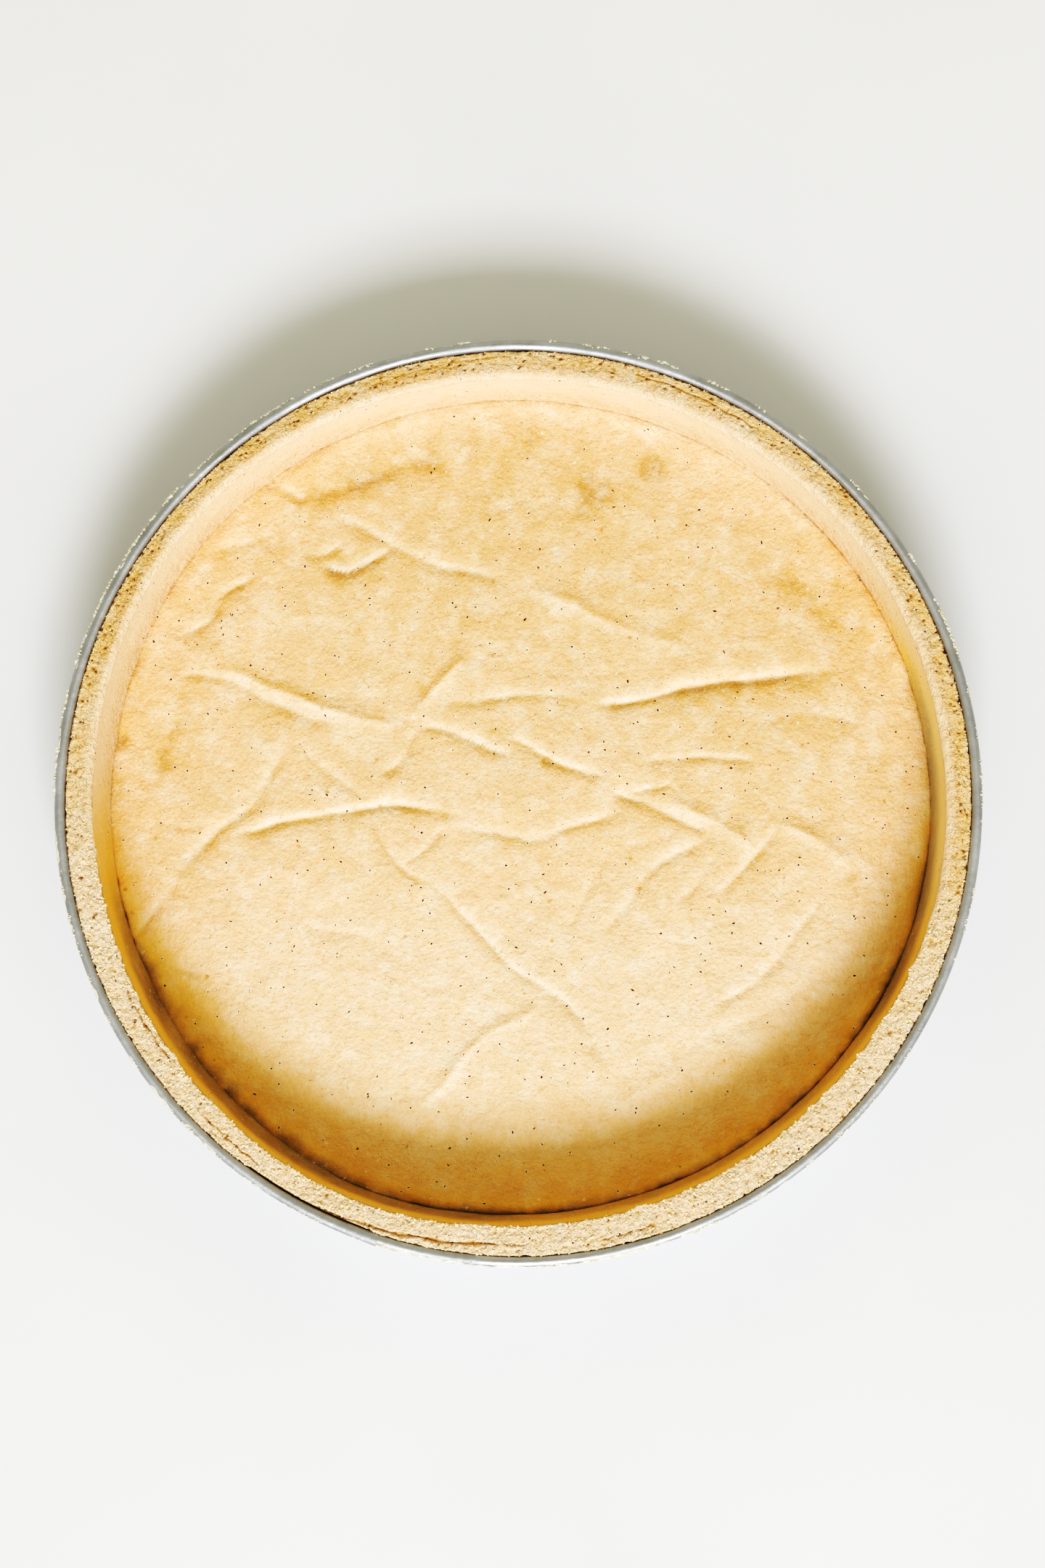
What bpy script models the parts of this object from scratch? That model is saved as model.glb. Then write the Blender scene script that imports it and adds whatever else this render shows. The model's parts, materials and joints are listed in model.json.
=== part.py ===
"""An unfilled shortcrust pie case in its own plain round tin.

Frame: origin at the centre of the tin's underside, +Z up, -Y the side of the rim bead's lap joint.
Two solids: the tin, a straight-sided pan with a wired rim bead, and the pastry case that lines it.
"""

import math

import bmesh
import bpy
import numpy as np

MM = 0.001

# Driving dimensions.
TIN_INNER_RADIUS = 120 * MM
TIN_HEIGHT = 32 * MM
TIN_SHEET = 0.7 * MM
WALL_THICKNESS = 7.1 * MM
FLOOR_THICKNESS = 6.9 * MM

# The tin.
BEAD_RADIUS = 1.4 * MM
TIN_CORNER_RADIUS = 2.6 * MM
FIT_GAP = 0.3 * MM

# The pastry case.
RIM_BELOW_BEAD = 0.6 * MM
RIM_OUTER_DROP = 0.3 * MM
RIM_EDGE_RADIUS = 1.3 * MM
WALL_LEAN = 0.3 * MM
JOINT_DEPTH = 0.6 * MM
JOINT_WIDTH = 1.0 * MM
FLOOR_RINGS = (20 * MM, 40 * MM, 60 * MM, 78 * MM, 94 * MM, 105 * MM)

# How the hand-pressed dough wanders: (waves per turn, height of the wave, bearing of a crest in degrees).
WALL_WAVES = ((1, 0.25 * MM, 167), (2, 0.33 * MM, 12), (3, 0.6 * MM, 6), (4, 0.26 * MM, -35), (7, 0.15 * MM, -15))
FLOOR_SWELL = 0.25 * MM
FLOOR_SWELL_LENGTH = 72 * MM
# How far each of the two swells slants across the other's direction.
FLOOR_SWELL_SLANTS = (0.4, -0.3)

# Folds that the baking paper pressed into the floor: name, rise (+ ridge, - groove) and the points it runs
# through, all in millimetres from the centre.
CREASES = (
    ("long_fold_west", 0.7, ((-78, 35), (-60, 29.5), (-44, 25), (-28, 21.5), (-12, 16), (4, 12))),
    ("long_fold_east", -0.7, ((0, 17), (14, 10), (30, 1), (46, -3), (62, -8.5), (71, -11))),
    ("west_groove", -0.7, ((-88, 36), (-72, 30.5), (-58, 24.5), (-44, 20))),
    ("north_east_groove", -0.9, ((22, 26), (40, 29), (56, 32), (74, 33.5), (90, 37))),
    ("south_west_groove", -0.8, ((-80, -10.5), (-64, -6), (-48, -3.5), (-32, -2), (-18, -3.5))),
    ("north_fold", 0.6, ((-38, 73), (-22, 66), (-6, 61.5), (10, 55.5), (26, 49.5))),
    ("west_fold", 0.6, ((-62, 17), (-73, 3), (-85, -12), (-97, -26))),
    ("south_fold", -0.7, ((-38, -8), (-26, -20), (-12, -35), (2, -47.5), (16, -58), (28, -71))),
    ("south_branch", -0.6, ((6, -52), (-9, -60.5), (-18, -71), (-28, -81))),
    ("east_fold", 0.6, ((71, -5), (80, -8), (89, -14), (96, -22))),
    ("east_branch", -0.5, ((70, -9), (60, -21), (50, -32))),
    ("middle_groove", -0.5, ((-18, -7), (4, -10), (20, -5))),
)
CREASE_TUBE_RADIUS = 2.4 * MM
CREASE_END_CLEARANCE = 0.5 * MM

# Facets.
TURNED_SEGMENTS = 80
BEAD_SEGMENTS = 9
CORNER_SEGMENTS = 3
CREASE_BEVEL_RESOLUTION = 4
MERGE = 0.00001
SHARP_ANGLE = 40

# Levels and radii that follow from the driving dimensions.
TIN_OUTER_RADIUS = TIN_INNER_RADIUS + TIN_SHEET
PASTRY_OUTER_RADIUS = TIN_INNER_RADIUS - FIT_GAP
PASTRY_INNER_RADIUS = PASTRY_OUTER_RADIUS - WALL_THICKNESS
PASTRY_BOTTOM = TIN_SHEET + FIT_GAP
FLOOR_LEVEL = PASTRY_BOTTOM + FLOOR_THICKNESS
RIM_LEVEL = TIN_HEIGHT - RIM_BELOW_BEAD

# (base colour, roughness, metallic)
STEEL = ((0.42, 0.43, 0.43), 0.34, 1.0)
SHORTCRUST = ((0.84, 0.64, 0.36), 0.75, 0.0)


def clear_scene():
    """Removes every object that the scene starts with."""
    for obj in list(bpy.data.objects):
        bpy.data.objects.remove(obj, do_unlink=True)


def new_collection(name):
    """A collection of that name, linked to the scene."""
    collection = bpy.data.collections.new(name)
    bpy.context.scene.collection.children.link(collection)
    return collection


def new_material(name, look):
    """A Principled material with the colour, roughness and metallic value of look."""
    colour, roughness, metallic = look
    material = bpy.data.materials.new(name)
    material.use_nodes = True
    shader = material.node_tree.nodes["Principled BSDF"]
    shader.inputs["Base Color"].default_value = (*colour, 1.0)
    shader.inputs["Roughness"].default_value = roughness
    shader.inputs["Metallic"].default_value = metallic
    return material


def arc(centre, radius, start, end, segments):
    """Points of an arc in the XZ plane, from the angle start to the angle end in degrees, both ends included."""
    angles = [math.radians(start + (end - start) * i / segments) for i in range(segments + 1)]
    return [(centre[0] + radius * math.cos(a), centre[1] + radius * math.sin(a)) for a in angles]


def turned_mesh(name, profile, collection):
    """Turns a profile of (radius, height) points about Z with a Screw modifier and returns the mesh object."""
    outline = bpy.data.meshes.new(name + "_outline")
    points = [(r, 0, z) for r, z in profile]
    outline.from_pydata(points, [(i, i + 1) for i in range(len(points) - 1)], [])
    guide = bpy.data.objects.new(name + "_outline", outline)
    collection.objects.link(guide)
    screw = guide.modifiers.new("Screw", "SCREW")
    screw.angle = 2 * math.pi
    screw.steps = TURNED_SEGMENTS
    screw.render_steps = TURNED_SEGMENTS
    screw.use_merge_vertices = True
    screw.merge_threshold = MERGE
    return as_mesh(guide, name, collection)


def as_mesh(source, name, collection):
    """A mesh object made from what source looks like with its modifiers, welded; source is removed."""
    graph = bpy.context.evaluated_depsgraph_get()
    mesh = bpy.data.meshes.new_from_object(source.evaluated_get(graph))
    obj = bpy.data.objects.new(name, mesh)
    obj.matrix_world = source.matrix_world
    collection.objects.link(obj)
    bpy.data.objects.remove(source, do_unlink=True)
    work = bmesh.new()
    work.from_mesh(mesh)
    bmesh.ops.remove_doubles(work, verts=work.verts, dist=MERGE)
    bmesh.ops.recalc_face_normals(work, faces=work.faces)
    work.to_mesh(mesh)
    work.free()
    return obj


def finish(obj, material):
    """Gives obj its material and smooth shading with sharp edges kept."""
    obj.data.materials.clear()
    obj.data.materials.append(material)
    obj.data.shade_smooth()
    obj.data.set_sharp_from_angle(angle=math.radians(SHARP_ANGLE))


# The tin ---------------------------------------------------------------------------------------------------


def tin_profile():
    """From the middle of the tin's floor, up the inner wall, over the bead and down to the underside."""
    bead_centre = (TIN_INNER_RADIUS + BEAD_RADIUS, TIN_HEIGHT - BEAD_RADIUS)
    # The bead meets the outer wall where its circle crosses the wall's outer radius.
    meets_wall = math.degrees(math.acos((TIN_OUTER_RADIUS - bead_centre[0]) / BEAD_RADIUS))
    inner_corner = TIN_CORNER_RADIUS - TIN_SHEET
    corner_centre = (TIN_OUTER_RADIUS - TIN_CORNER_RADIUS, TIN_CORNER_RADIUS)
    profile = [(0, TIN_SHEET)]
    profile += arc(corner_centre, inner_corner, -90, 0, CORNER_SEGMENTS)
    profile += arc(bead_centre, BEAD_RADIUS, 180, -meets_wall, BEAD_SEGMENTS)
    profile += arc(corner_centre, TIN_CORNER_RADIUS, 0, -90, CORNER_SEGMENTS)
    profile += [(0, 0)]
    return profile


def make_tin(collection):
    """The tin: base, wall and wired bead pressed from one sheet."""
    tin = turned_mesh("tin", tin_profile(), collection)
    finish(tin, new_material("tinned_steel", STEEL))
    return tin


# The pastry case -------------------------------------------------------------------------------------------


def pastry_profile():
    """From the middle of the pastry floor, out to the joint, up the wall, over the rim and back underneath."""
    wall_top = PASTRY_INNER_RADIUS + WALL_LEAN
    edge_centre = (wall_top + RIM_EDGE_RADIUS, RIM_LEVEL - RIM_EDGE_RADIUS)
    corner_centre = (PASTRY_OUTER_RADIUS - TIN_CORNER_RADIUS, PASTRY_BOTTOM + TIN_CORNER_RADIUS)
    profile = [(0, FLOOR_LEVEL)]
    profile += [(ring, FLOOR_LEVEL) for ring in FLOOR_RINGS]
    profile += [
        (PASTRY_INNER_RADIUS - 2 * JOINT_WIDTH, FLOOR_LEVEL),
        (PASTRY_INNER_RADIUS - JOINT_WIDTH / 2, FLOOR_LEVEL - JOINT_DEPTH),
        (PASTRY_INNER_RADIUS, FLOOR_LEVEL + JOINT_DEPTH),
    ]
    profile += arc(edge_centre, RIM_EDGE_RADIUS, 180, 90, CORNER_SEGMENTS)
    profile += [(PASTRY_OUTER_RADIUS, RIM_LEVEL - RIM_OUTER_DROP)]
    profile += arc(corner_centre, TIN_CORNER_RADIUS, 0, -90, CORNER_SEGMENTS)
    profile += [(0, PASTRY_BOTTOM)]
    return profile


def wall_wave(angle):
    """How far the inner wall stands outwards of its mean radius at each angle."""
    return sum(height * np.cos(count * (angle - math.radians(crest))) for count, height, crest in WALL_WAVES)


def floor_swell(x, y):
    """The floor's slow rise and fall, two crossed waves that fade out towards the wall."""
    turn = 2 * math.pi / FLOOR_SWELL_LENGTH
    fade = np.clip(1 - np.hypot(x, y) / PASTRY_INNER_RADIUS, 0, 1)
    across, along = FLOOR_SWELL_SLANTS
    return FLOOR_SWELL * fade * (np.sin(turn * (x + across * y)) + np.cos(turn * (y + along * x)))


def press_by_hand(pastry):
    """Moves the turned case's inner surface to the uneven wall and floor that pressing leaves."""
    mesh = pastry.data
    points = np.zeros(len(mesh.vertices) * 3)
    mesh.vertices.foreach_get("co", points)
    points = points.reshape(-1, 3)
    x, y, z = points.T
    radius = np.hypot(x, y)
    angle = np.arctan2(y, x)
    inner = z > PASTRY_BOTTOM + FLOOR_THICKNESS / 2
    on_floor = inner & (radius < PASTRY_INNER_RADIUS - JOINT_WIDTH)
    across_rim = (PASTRY_OUTER_RADIUS - radius) / (PASTRY_OUTER_RADIUS - PASTRY_INNER_RADIUS)
    across_floor = (radius - FLOOR_RINGS[-2]) / (PASTRY_INNER_RADIUS - FLOOR_RINGS[-2])
    share = np.where(inner, np.clip(np.minimum(across_rim, across_floor), 0, 1), 0)
    stretch = 1 + share * wall_wave(angle) / np.maximum(radius, MM)
    points[:, 0] = x * stretch
    points[:, 1] = y * stretch
    points[:, 2] = z + np.where(on_floor, floor_swell(x, y), 0)
    mesh.vertices.foreach_set("co", points.ravel())
    mesh.update()


def crease_tube(name, rise, route, collection):
    """A round bar along a crease that stands rise above the floor, or sinks as far in, and runs out at its ends."""
    side = math.copysign(1, rise)
    middle = FLOOR_LEVEL + rise * MM - side * CREASE_TUBE_RADIUS
    run_out = FLOOR_LEVEL - side * (CREASE_TUBE_RADIUS + CREASE_END_CLEARANCE)
    curve = bpy.data.curves.new(name, "CURVE")
    curve.dimensions = "3D"
    curve.bevel_depth = CREASE_TUBE_RADIUS
    curve.bevel_resolution = CREASE_BEVEL_RESOLUTION
    curve.use_fill_caps = True
    spline = curve.splines.new("POLY")
    spline.points.add(len(route) - 1)
    for i, (x, y) in enumerate(route):
        level = run_out if i in (0, len(route) - 1) else middle
        spline.points[i].co = (x * MM, y * MM, level, 1)
    tube = bpy.data.objects.new(name, curve)
    collection.objects.link(tube)
    tube = as_mesh(tube, name, collection)
    tube.hide_render = True
    tube.display_type = "WIRE"
    return tube


def press_creases(pastry, cutters):
    """Joins each ridge to the floor and cuts each groove out of it."""
    for name, rise, route in CREASES:
        boolean = pastry.modifiers.new(name, "BOOLEAN")
        boolean.operation = "UNION" if rise > 0 else "DIFFERENCE"
        boolean.solver = "EXACT"
        boolean.object = crease_tube(name, rise, route, cutters)


def make_pastry_case(collection, cutters):
    """The pastry case: one body of dough with its wall, cut rim, floor joint and paper creases."""
    pastry = turned_mesh("pastry_case", pastry_profile(), collection)
    press_by_hand(pastry)
    press_creases(pastry, cutters)
    finish(pastry, new_material("shortcrust", SHORTCRUST))
    return pastry


def main():
    """Builds the pie case and its tin."""
    clear_scene()
    parts = new_collection("pie_case_in_tin")
    cutters = new_collection("cutters")
    make_tin(parts)
    make_pastry_case(parts, cutters)


main()
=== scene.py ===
"""The looks of an unfilled shortcrust pie case in its plain round tin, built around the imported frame.

Every length is in metres in the frame's own axes: origin under the middle of the tin, +Z up, -Y the near
side. Bearings are degrees round +Z from +X, where a docstring doesn't say otherwise.
"""

from __future__ import annotations

import json
import logging
import math
from dataclasses import dataclass
from enum import Enum
from itertools import combinations

import bpy
import numpy as np
from mathutils import Matrix, Vector

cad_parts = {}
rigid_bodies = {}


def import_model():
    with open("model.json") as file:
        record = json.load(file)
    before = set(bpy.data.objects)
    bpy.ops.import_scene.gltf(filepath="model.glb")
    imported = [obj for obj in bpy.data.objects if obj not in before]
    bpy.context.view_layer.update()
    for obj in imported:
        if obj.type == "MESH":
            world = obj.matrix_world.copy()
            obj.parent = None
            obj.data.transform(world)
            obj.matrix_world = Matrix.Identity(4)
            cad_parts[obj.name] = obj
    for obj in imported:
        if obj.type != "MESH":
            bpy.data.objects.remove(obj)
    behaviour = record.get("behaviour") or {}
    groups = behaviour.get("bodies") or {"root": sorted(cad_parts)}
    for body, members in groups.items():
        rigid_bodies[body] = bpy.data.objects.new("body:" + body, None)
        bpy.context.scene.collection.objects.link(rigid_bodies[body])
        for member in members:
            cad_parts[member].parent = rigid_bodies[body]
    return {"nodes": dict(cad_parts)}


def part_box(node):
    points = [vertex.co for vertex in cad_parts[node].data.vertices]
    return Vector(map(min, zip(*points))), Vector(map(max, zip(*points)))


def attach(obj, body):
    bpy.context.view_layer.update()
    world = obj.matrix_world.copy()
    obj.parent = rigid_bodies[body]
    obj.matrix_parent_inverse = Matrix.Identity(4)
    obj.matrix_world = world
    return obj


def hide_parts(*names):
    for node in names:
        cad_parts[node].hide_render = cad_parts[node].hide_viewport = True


LOG = logging.getLogger("pie_case")
MM = 0.001
TURN = 2 * math.pi
BODY = "root"

Socket = bpy.types.NodeSocket
Colour = tuple[float, float, float]


# Noise and small shape helpers --------------------------------------------------------------------


def lattice_value(cells: np.ndarray, seed: int) -> np.ndarray:
    """A repeatable random number for each whole-number lattice point, by mixing the bits of its indices.

    Args:
        cells: Whole-number lattice points, shape (..., 3).
        seed: Picks one of many unrelated fields.

    Returns:
        Numbers from 0 to 1, shape (...).
    """
    x, y, z = (cells[..., axis] for axis in range(3))
    mixed = x * 73856093 ^ y * 19349663 ^ z * 83492791 ^ (seed * 2654435761)
    mixed = (mixed ^ (mixed >> 13)) * 1274126177
    mixed = (mixed ^ (mixed >> 16)) * 2246822519
    return ((mixed ^ (mixed >> 15)) & 0xFFFFFF) / float(0xFFFFFF)


def soft_noise(points: np.ndarray, cell: float, seed: int) -> np.ndarray:
    """Smooth random rise and fall: the eight lattice values round a point, blended by smoothed distances.

    Args:
        points: Places to read, shape (n, 3).
        cell: Size of one lattice cell, about half a wavelength.
        seed: Picks the field.

    Returns:
        Values from -1 to 1, shape (n,).
    """
    scaled = points / cell
    corner = np.floor(scaled).astype(np.int64)
    part = scaled - corner
    part = part * part * (3 - 2 * part)
    total = np.zeros(len(points))
    for step in range(8):
        offset = np.array([step & 1, step >> 1 & 1, step >> 2 & 1])
        weight = np.prod(np.where(offset == 1, part, 1 - part), axis=1)
        total += weight * lattice_value(corner + offset, seed)
    return total * 2 - 1


def layered_noise(points: np.ndarray, cell: float, seed: int, layers: int = 3) -> np.ndarray:
    """A sum of soft noise in which each layer has half the size and half the strength of the one before.

    Args:
        points: Places to read, shape (n, 3).
        cell: Cell size of the broadest layer.
        seed: Picks the field.
        layers: How many layers.

    Returns:
        Values of about -1 to 1, shape (n,).
    """
    total = np.zeros(len(points))
    for layer in range(layers):
        total += soft_noise(points, cell / 2**layer, seed + 17 * layer) / 2**layer
    return total / (2 - 0.5 ** (layers - 1))


def nearest_seed(points: np.ndarray, cell: float, seed: int) -> tuple[np.ndarray, np.ndarray]:
    """The nearest of one scattered seed point per lattice cell, among the 27 cells round each place.

    Args:
        points: Places to read, shape (n, 3).
        cell: Size of one lattice cell, the mean distance between seeds.
        seed: Picks the scatter.

    Returns:
        The distance in cells, and a random number from 0 to 1 that belongs to the nearest seed.
    """
    scaled = points / cell
    corner = np.floor(scaled).astype(np.int64)
    best = np.full(len(points), 9.0)
    label = np.zeros(len(points))
    for step in range(27):
        near = corner + np.array([step % 3 - 1, step // 3 % 3 - 1, step // 9 - 1])
        place = near + np.stack([lattice_value(near, seed + k) for k in (1, 2, 3)], axis=1)
        distance = np.linalg.norm(place - scaled, axis=1)
        closer = distance < best
        best = np.where(closer, distance, best)
        label = np.where(closer, lattice_value(near, seed + 4), label)
    return best, label


def ring_noise(
    angle: np.ndarray, radius: float, cell: float, seed: int, layers: int = 1, height: np.ndarray | float = 0
) -> np.ndarray:
    """Layered noise read at points round the axis, (radius cos angle, radius sin angle, height).

    Args:
        angle: Angles in radians, of any shape.
        radius: Distance of every point from the axis.
        cell: Cell size of the broadest layer.
        seed: Picks the field.
        layers: How many layers.
        height: Height of each point, one for all or of the angles' shape.

    Returns:
        Values of about -1 to 1, of the angles' shape.
    """
    places = np.stack([radius * np.cos(angle), radius * np.sin(angle), height + 0 * angle], axis=-1)
    return layered_noise(places.reshape(-1, 3), cell, seed, layers).reshape(angle.shape)


def ease(value: np.ndarray, low: float, high: float) -> np.ndarray:
    """0 below low, 1 above high and a smooth S between them."""
    share = np.clip((value - low) / (high - low), 0, 1)
    return share * share * (3 - 2 * share)


def angle_gap(angle: np.ndarray, bearing: float) -> np.ndarray:
    """Signed angle from a bearing in degrees to each angle in radians, wrapped to half a turn each way."""
    return (angle - math.radians(bearing) + math.pi) % TURN - math.pi


def in_sector(angle: np.ndarray, start: float, end: float, blend: float) -> np.ndarray:
    """1 from one bearing round to another and 0 elsewhere, with a smooth blend outside each end.

    Args:
        angle: Angles in radians.
        start: Bearing at which the sector begins.
        end: Bearing at which it ends.
        blend: Width of each blend in degrees.

    Returns:
        Shares from 0 to 1, of the angles' shape.
    """
    middle = (start + end) / 2
    half = math.radians(abs(end - start) / 2)
    return 1 - ease(np.abs(angle_gap(angle, middle)), half, half + math.radians(blend))


def smooth_route(knots: np.ndarray, count: int) -> np.ndarray:
    """Points of a Catmull-Rom curve, whose tangent at each knot runs along its two neighbours.

    Args:
        knots: The points that it runs through, shape (k, 2).
        count: How many points to return.

    Returns:
        Evenly parametrised points, shape (count, 2).
    """
    padded = np.vstack([2 * knots[0] - knots[1], knots, 2 * knots[-1] - knots[-2]])
    at = np.linspace(0, len(knots) - 1 - 1e-9, count)
    index = at.astype(int)
    t = (at - index)[:, None]
    p0, p1, p2, p3 = (padded[index + k] for k in range(4))
    bend = (2 * p0 - 5 * p1 + 4 * p2 - p3) * t**2
    twist = (-p0 + 3 * p1 - 3 * p2 + p3) * t**3
    return 0.5 * (2 * p1 + (p2 - p0) * t + bend + twist)


def round_piece(name: str, rows: np.ndarray) -> bpy.types.Object:
    """A closed ring-shaped mesh from a grid: its rows run round the axis and its columns round a section.

    Args:
        name: The piece's name.
        rows: Points, shape (sections round the profile, steps round the axis, 3); both ways wrap.

    Returns:
        The new object.
    """
    across, around = rows.shape[:2]
    index = np.arange(across * around).reshape(across, around)
    right = np.roll(index, -1, axis=1)
    up = np.roll(index, -1, axis=0)
    faces = np.stack([index, right, np.roll(right, -1, axis=0), up], axis=-1).reshape(-1, 4)
    return mesh_piece(name, rows.reshape(-1, 3), faces)


def mesh_piece(
    name: str, points: np.ndarray, faces: np.ndarray, extra: np.ndarray | None = None
) -> bpy.types.Object:
    """A mesh object at the origin from whole arrays of points and faces.

    Args:
        name: The piece's name.
        points: Vertices, shape (n, 3).
        faces: Vertex indices of the faces, one shape for all, shape (m, 3 or 4).
        extra: More faces of another number of corners, or None.

    Returns:
        The new object, smooth shaded and linked to the scene.
    """
    groups = [faces] if extra is None else [faces, extra]
    corners = np.concatenate([group.ravel() for group in groups])
    sizes = np.concatenate([np.full(len(group), group.shape[1]) for group in groups])
    mesh = bpy.data.meshes.new(name)
    mesh.vertices.add(len(points))
    mesh.vertices.foreach_set("co", points.astype(np.float32).ravel())
    mesh.loops.add(len(corners))
    mesh.loops.foreach_set("vertex_index", corners.astype(np.int32))
    mesh.polygons.add(len(sizes))
    mesh.polygons.foreach_set("loop_start", (np.cumsum(sizes) - sizes).astype(np.int32))
    mesh.update(calc_edges=True)
    mesh.validate()
    mesh.shade_smooth()
    obj = bpy.data.objects.new(name, mesh)
    bpy.context.scene.collection.objects.link(obj)
    return obj


def set_attribute(obj: bpy.types.Object, name: str, values: np.ndarray) -> None:
    """Stores one number for each vertex under a name that a material can read."""
    attribute = obj.data.attributes.new(name, "FLOAT", "POINT")
    attribute.data.foreach_set("value", values.astype(np.float32))


# Sizes --------------------------------------------------------------------------------------------


# The wall's slow waves: how many a turn, height in mm and bearing of a crest.
WALL_WAVES = ((1, 0.25, 167), (2, 0.33, 12), (3, 0.6, 6), (4, 0.26, -35), (7, 0.15, -15))


@dataclass(frozen=True)
class CaseSizes:
    """Radii and levels of the tin and its pastry, from the frame and the thickness of the rolled dough."""

    bead_outer: float
    tin_height: float
    pastry_outer: float
    pastry_bottom: float
    rim_level: float
    wall_thickness: float = 7.1 * MM
    floor_thickness: float = 6.9 * MM
    sheet: float = 0.7 * MM
    bead_radius: float = 1.4 * MM
    tin_corner: float = 2.6 * MM

    @classmethod
    def from_frame(cls) -> CaseSizes:
        """Reads the boxes of the two frame nodes.

        Returns:
            The sizes of this frame.
        """
        _, tin_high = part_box("tin")
        pastry_low, pastry_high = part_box("pastry_case")
        return cls(tin_high.x, tin_high.z, pastry_high.x, pastry_low.z, pastry_high.z)

    @property
    def pastry_inner(self) -> float:
        """Mean radius of the inside of the pastry wall."""
        return self.pastry_outer - self.wall_thickness

    @property
    def floor_level(self) -> float:
        """Height of the pressed pastry floor."""
        return self.pastry_bottom + self.floor_thickness

    @property
    def tin_inner(self) -> float:
        """Radius of the tin's inner wall, where the bead begins."""
        return self.bead_outer - 2 * self.bead_radius

    def wall_wave(self, angle: np.ndarray) -> np.ndarray:
        """How far the inner wall stands out of its mean radius: a sum of cosines of 1 to 7 waves a turn."""
        waves = ((rise * MM, count * (angle - math.radians(crest))) for count, rise, crest in WALL_WAVES)
        return sum(rise * np.cos(phase) for rise, phase in waves)

    def inner_radius(self, angle: np.ndarray) -> np.ndarray:
        """Radius of the inside of the pastry wall at each angle."""
        return self.pastry_inner + self.wall_wave(angle)


# Shader bench and finishes ------------------------------------------------------------------------


class ShaderBench:
    """One material's node tree, with short calls for the nodes that the finishes share."""

    def __init__(self, name: str) -> None:
        """Starts a material with only its Principled shader and output.

        Args:
            name: The material's name.
        """
        self.material = bpy.data.materials.new(name)
        self.material.use_nodes = True
        self.nodes = self.material.node_tree.nodes
        self.links = self.material.node_tree.links
        self.shader = self.nodes["Principled BSDF"]
        self.place = self.nodes.new("ShaderNodeTexCoord").outputs["Object"]

    def fill(self, node: bpy.types.Node, values: dict[str, float | Colour]) -> None:
        """Sets a node's inputs; an underscore in a name stands for a space."""
        for name, value in values.items():
            node.inputs[name.replace("_", " ")].default_value = value

    def set(self, **values: float | Colour) -> None:
        """Sets sockets of the Principled shader."""
        self.fill(self.shader, values)

    def add(self, kind: str, **values: float | Colour) -> bpy.types.Node:
        """Adds a node and sets its inputs.

        Args:
            kind: The node's type.
            values: Its inputs by name.

        Returns:
            The new node.
        """
        node = self.nodes.new(kind)
        self.fill(node, values)
        return node

    def put(self, value: Socket | Colour | float, socket: Socket) -> None:
        """Links a value to a socket, or sets the socket to a plain colour or number.

        Args:
            value: The value.
            socket: The input that takes it.
        """
        if isinstance(value, Socket):
            self.links.new(value, socket)
        elif isinstance(value, tuple):
            socket.default_value = (*value, 1.0)
        else:
            socket.default_value = value

    def feed(self, socket: str, value: Socket) -> None:
        """Links a value into a socket of the Principled shader."""
        self.links.new(value, self.shader.inputs[socket])

    def attribute(self, name: str) -> Socket:
        """The piece's own per-vertex number of that name.

        Args:
            name: The attribute's name.

        Returns:
            A socket with the number.
        """
        node = self.nodes.new("ShaderNodeAttribute")
        node.attribute_name = name
        return node.outputs["Fac"]

    def noise(
        self, scale: float, detail: float = 3, roughness: float = 0.5, place: Socket | None = None
    ) -> Socket:
        """Noise of 0 to 1.

        Args:
            scale: Cells a metre.
            detail: How many finer layers it has.
            roughness: How strong each finer layer is.
            place: The coordinates to read, or None for Object coordinates.

        Returns:
            A socket with the noise.
        """
        node = self.add("ShaderNodeTexNoise", Scale=scale, Detail=detail, Roughness=roughness)
        self.links.new(place or self.place, node.inputs["Vector"])
        return node.outputs["Fac"]

    def shaken(self, scale: float, reach: float) -> Socket:
        """Object coordinates pushed about by noise, so that what reads them gets ragged edges.

        Args:
            scale: Cells a metre of the noise.
            reach: How far apart the two farthest pushes are.

        Returns:
            A socket with the coordinates.
        """
        noise = self.add("ShaderNodeTexNoise", Scale=scale)
        self.links.new(self.place, noise.inputs["Vector"])
        shift = self.nodes.new("ShaderNodeVectorMath")
        shift.operation = "MULTIPLY_ADD"
        self.links.new(noise.outputs["Color"], shift.inputs[0])
        shift.inputs[1].default_value = (reach, reach, reach)
        self.links.new(self.place, shift.inputs[2])
        return shift.outputs["Vector"]

    def dots(self, scale: float, radius: float, share: float, soft: float, place: Socket) -> Socket:
        """1 inside scattered dots: near a share of the seeds of a Voronoi texture.

        Args:
            scale: Seeds a metre.
            radius: Dot radius in cells.
            share: Share of the seeds that carry a dot.
            soft: Width of a dot's blurred edge in cells.
            place: The coordinates to read.

        Returns:
            A socket with 0 to 1.
        """
        node = self.add("ShaderNodeTexVoronoi", Scale=scale)
        self.links.new(place, node.inputs["Vector"])
        near = self.span(node.outputs["Distance"], radius + soft, radius)
        split = self.nodes.new("ShaderNodeSeparateColor")
        self.links.new(node.outputs["Color"], split.inputs["Color"])
        chosen = self.math("LESS_THAN", split.outputs["Red"], share)
        return self.math("MULTIPLY", near, chosen)

    def span(self, value: Socket, low: float, high: float, to_low: float = 0, to_high: float = 1) -> Socket:
        """Maps one span to another in a straight line, clamped at both ends.

        Args:
            value: What to map.
            low: Start of its span.
            high: End of its span.
            to_low: What the start becomes.
            to_high: What the end becomes.

        Returns:
            A socket with the mapped value.
        """
        node = self.add("ShaderNodeMapRange", From_Min=low, From_Max=high, To_Min=to_low, To_Max=to_high)
        self.links.new(value, node.inputs["Value"])
        return node.outputs["Result"]

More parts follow.
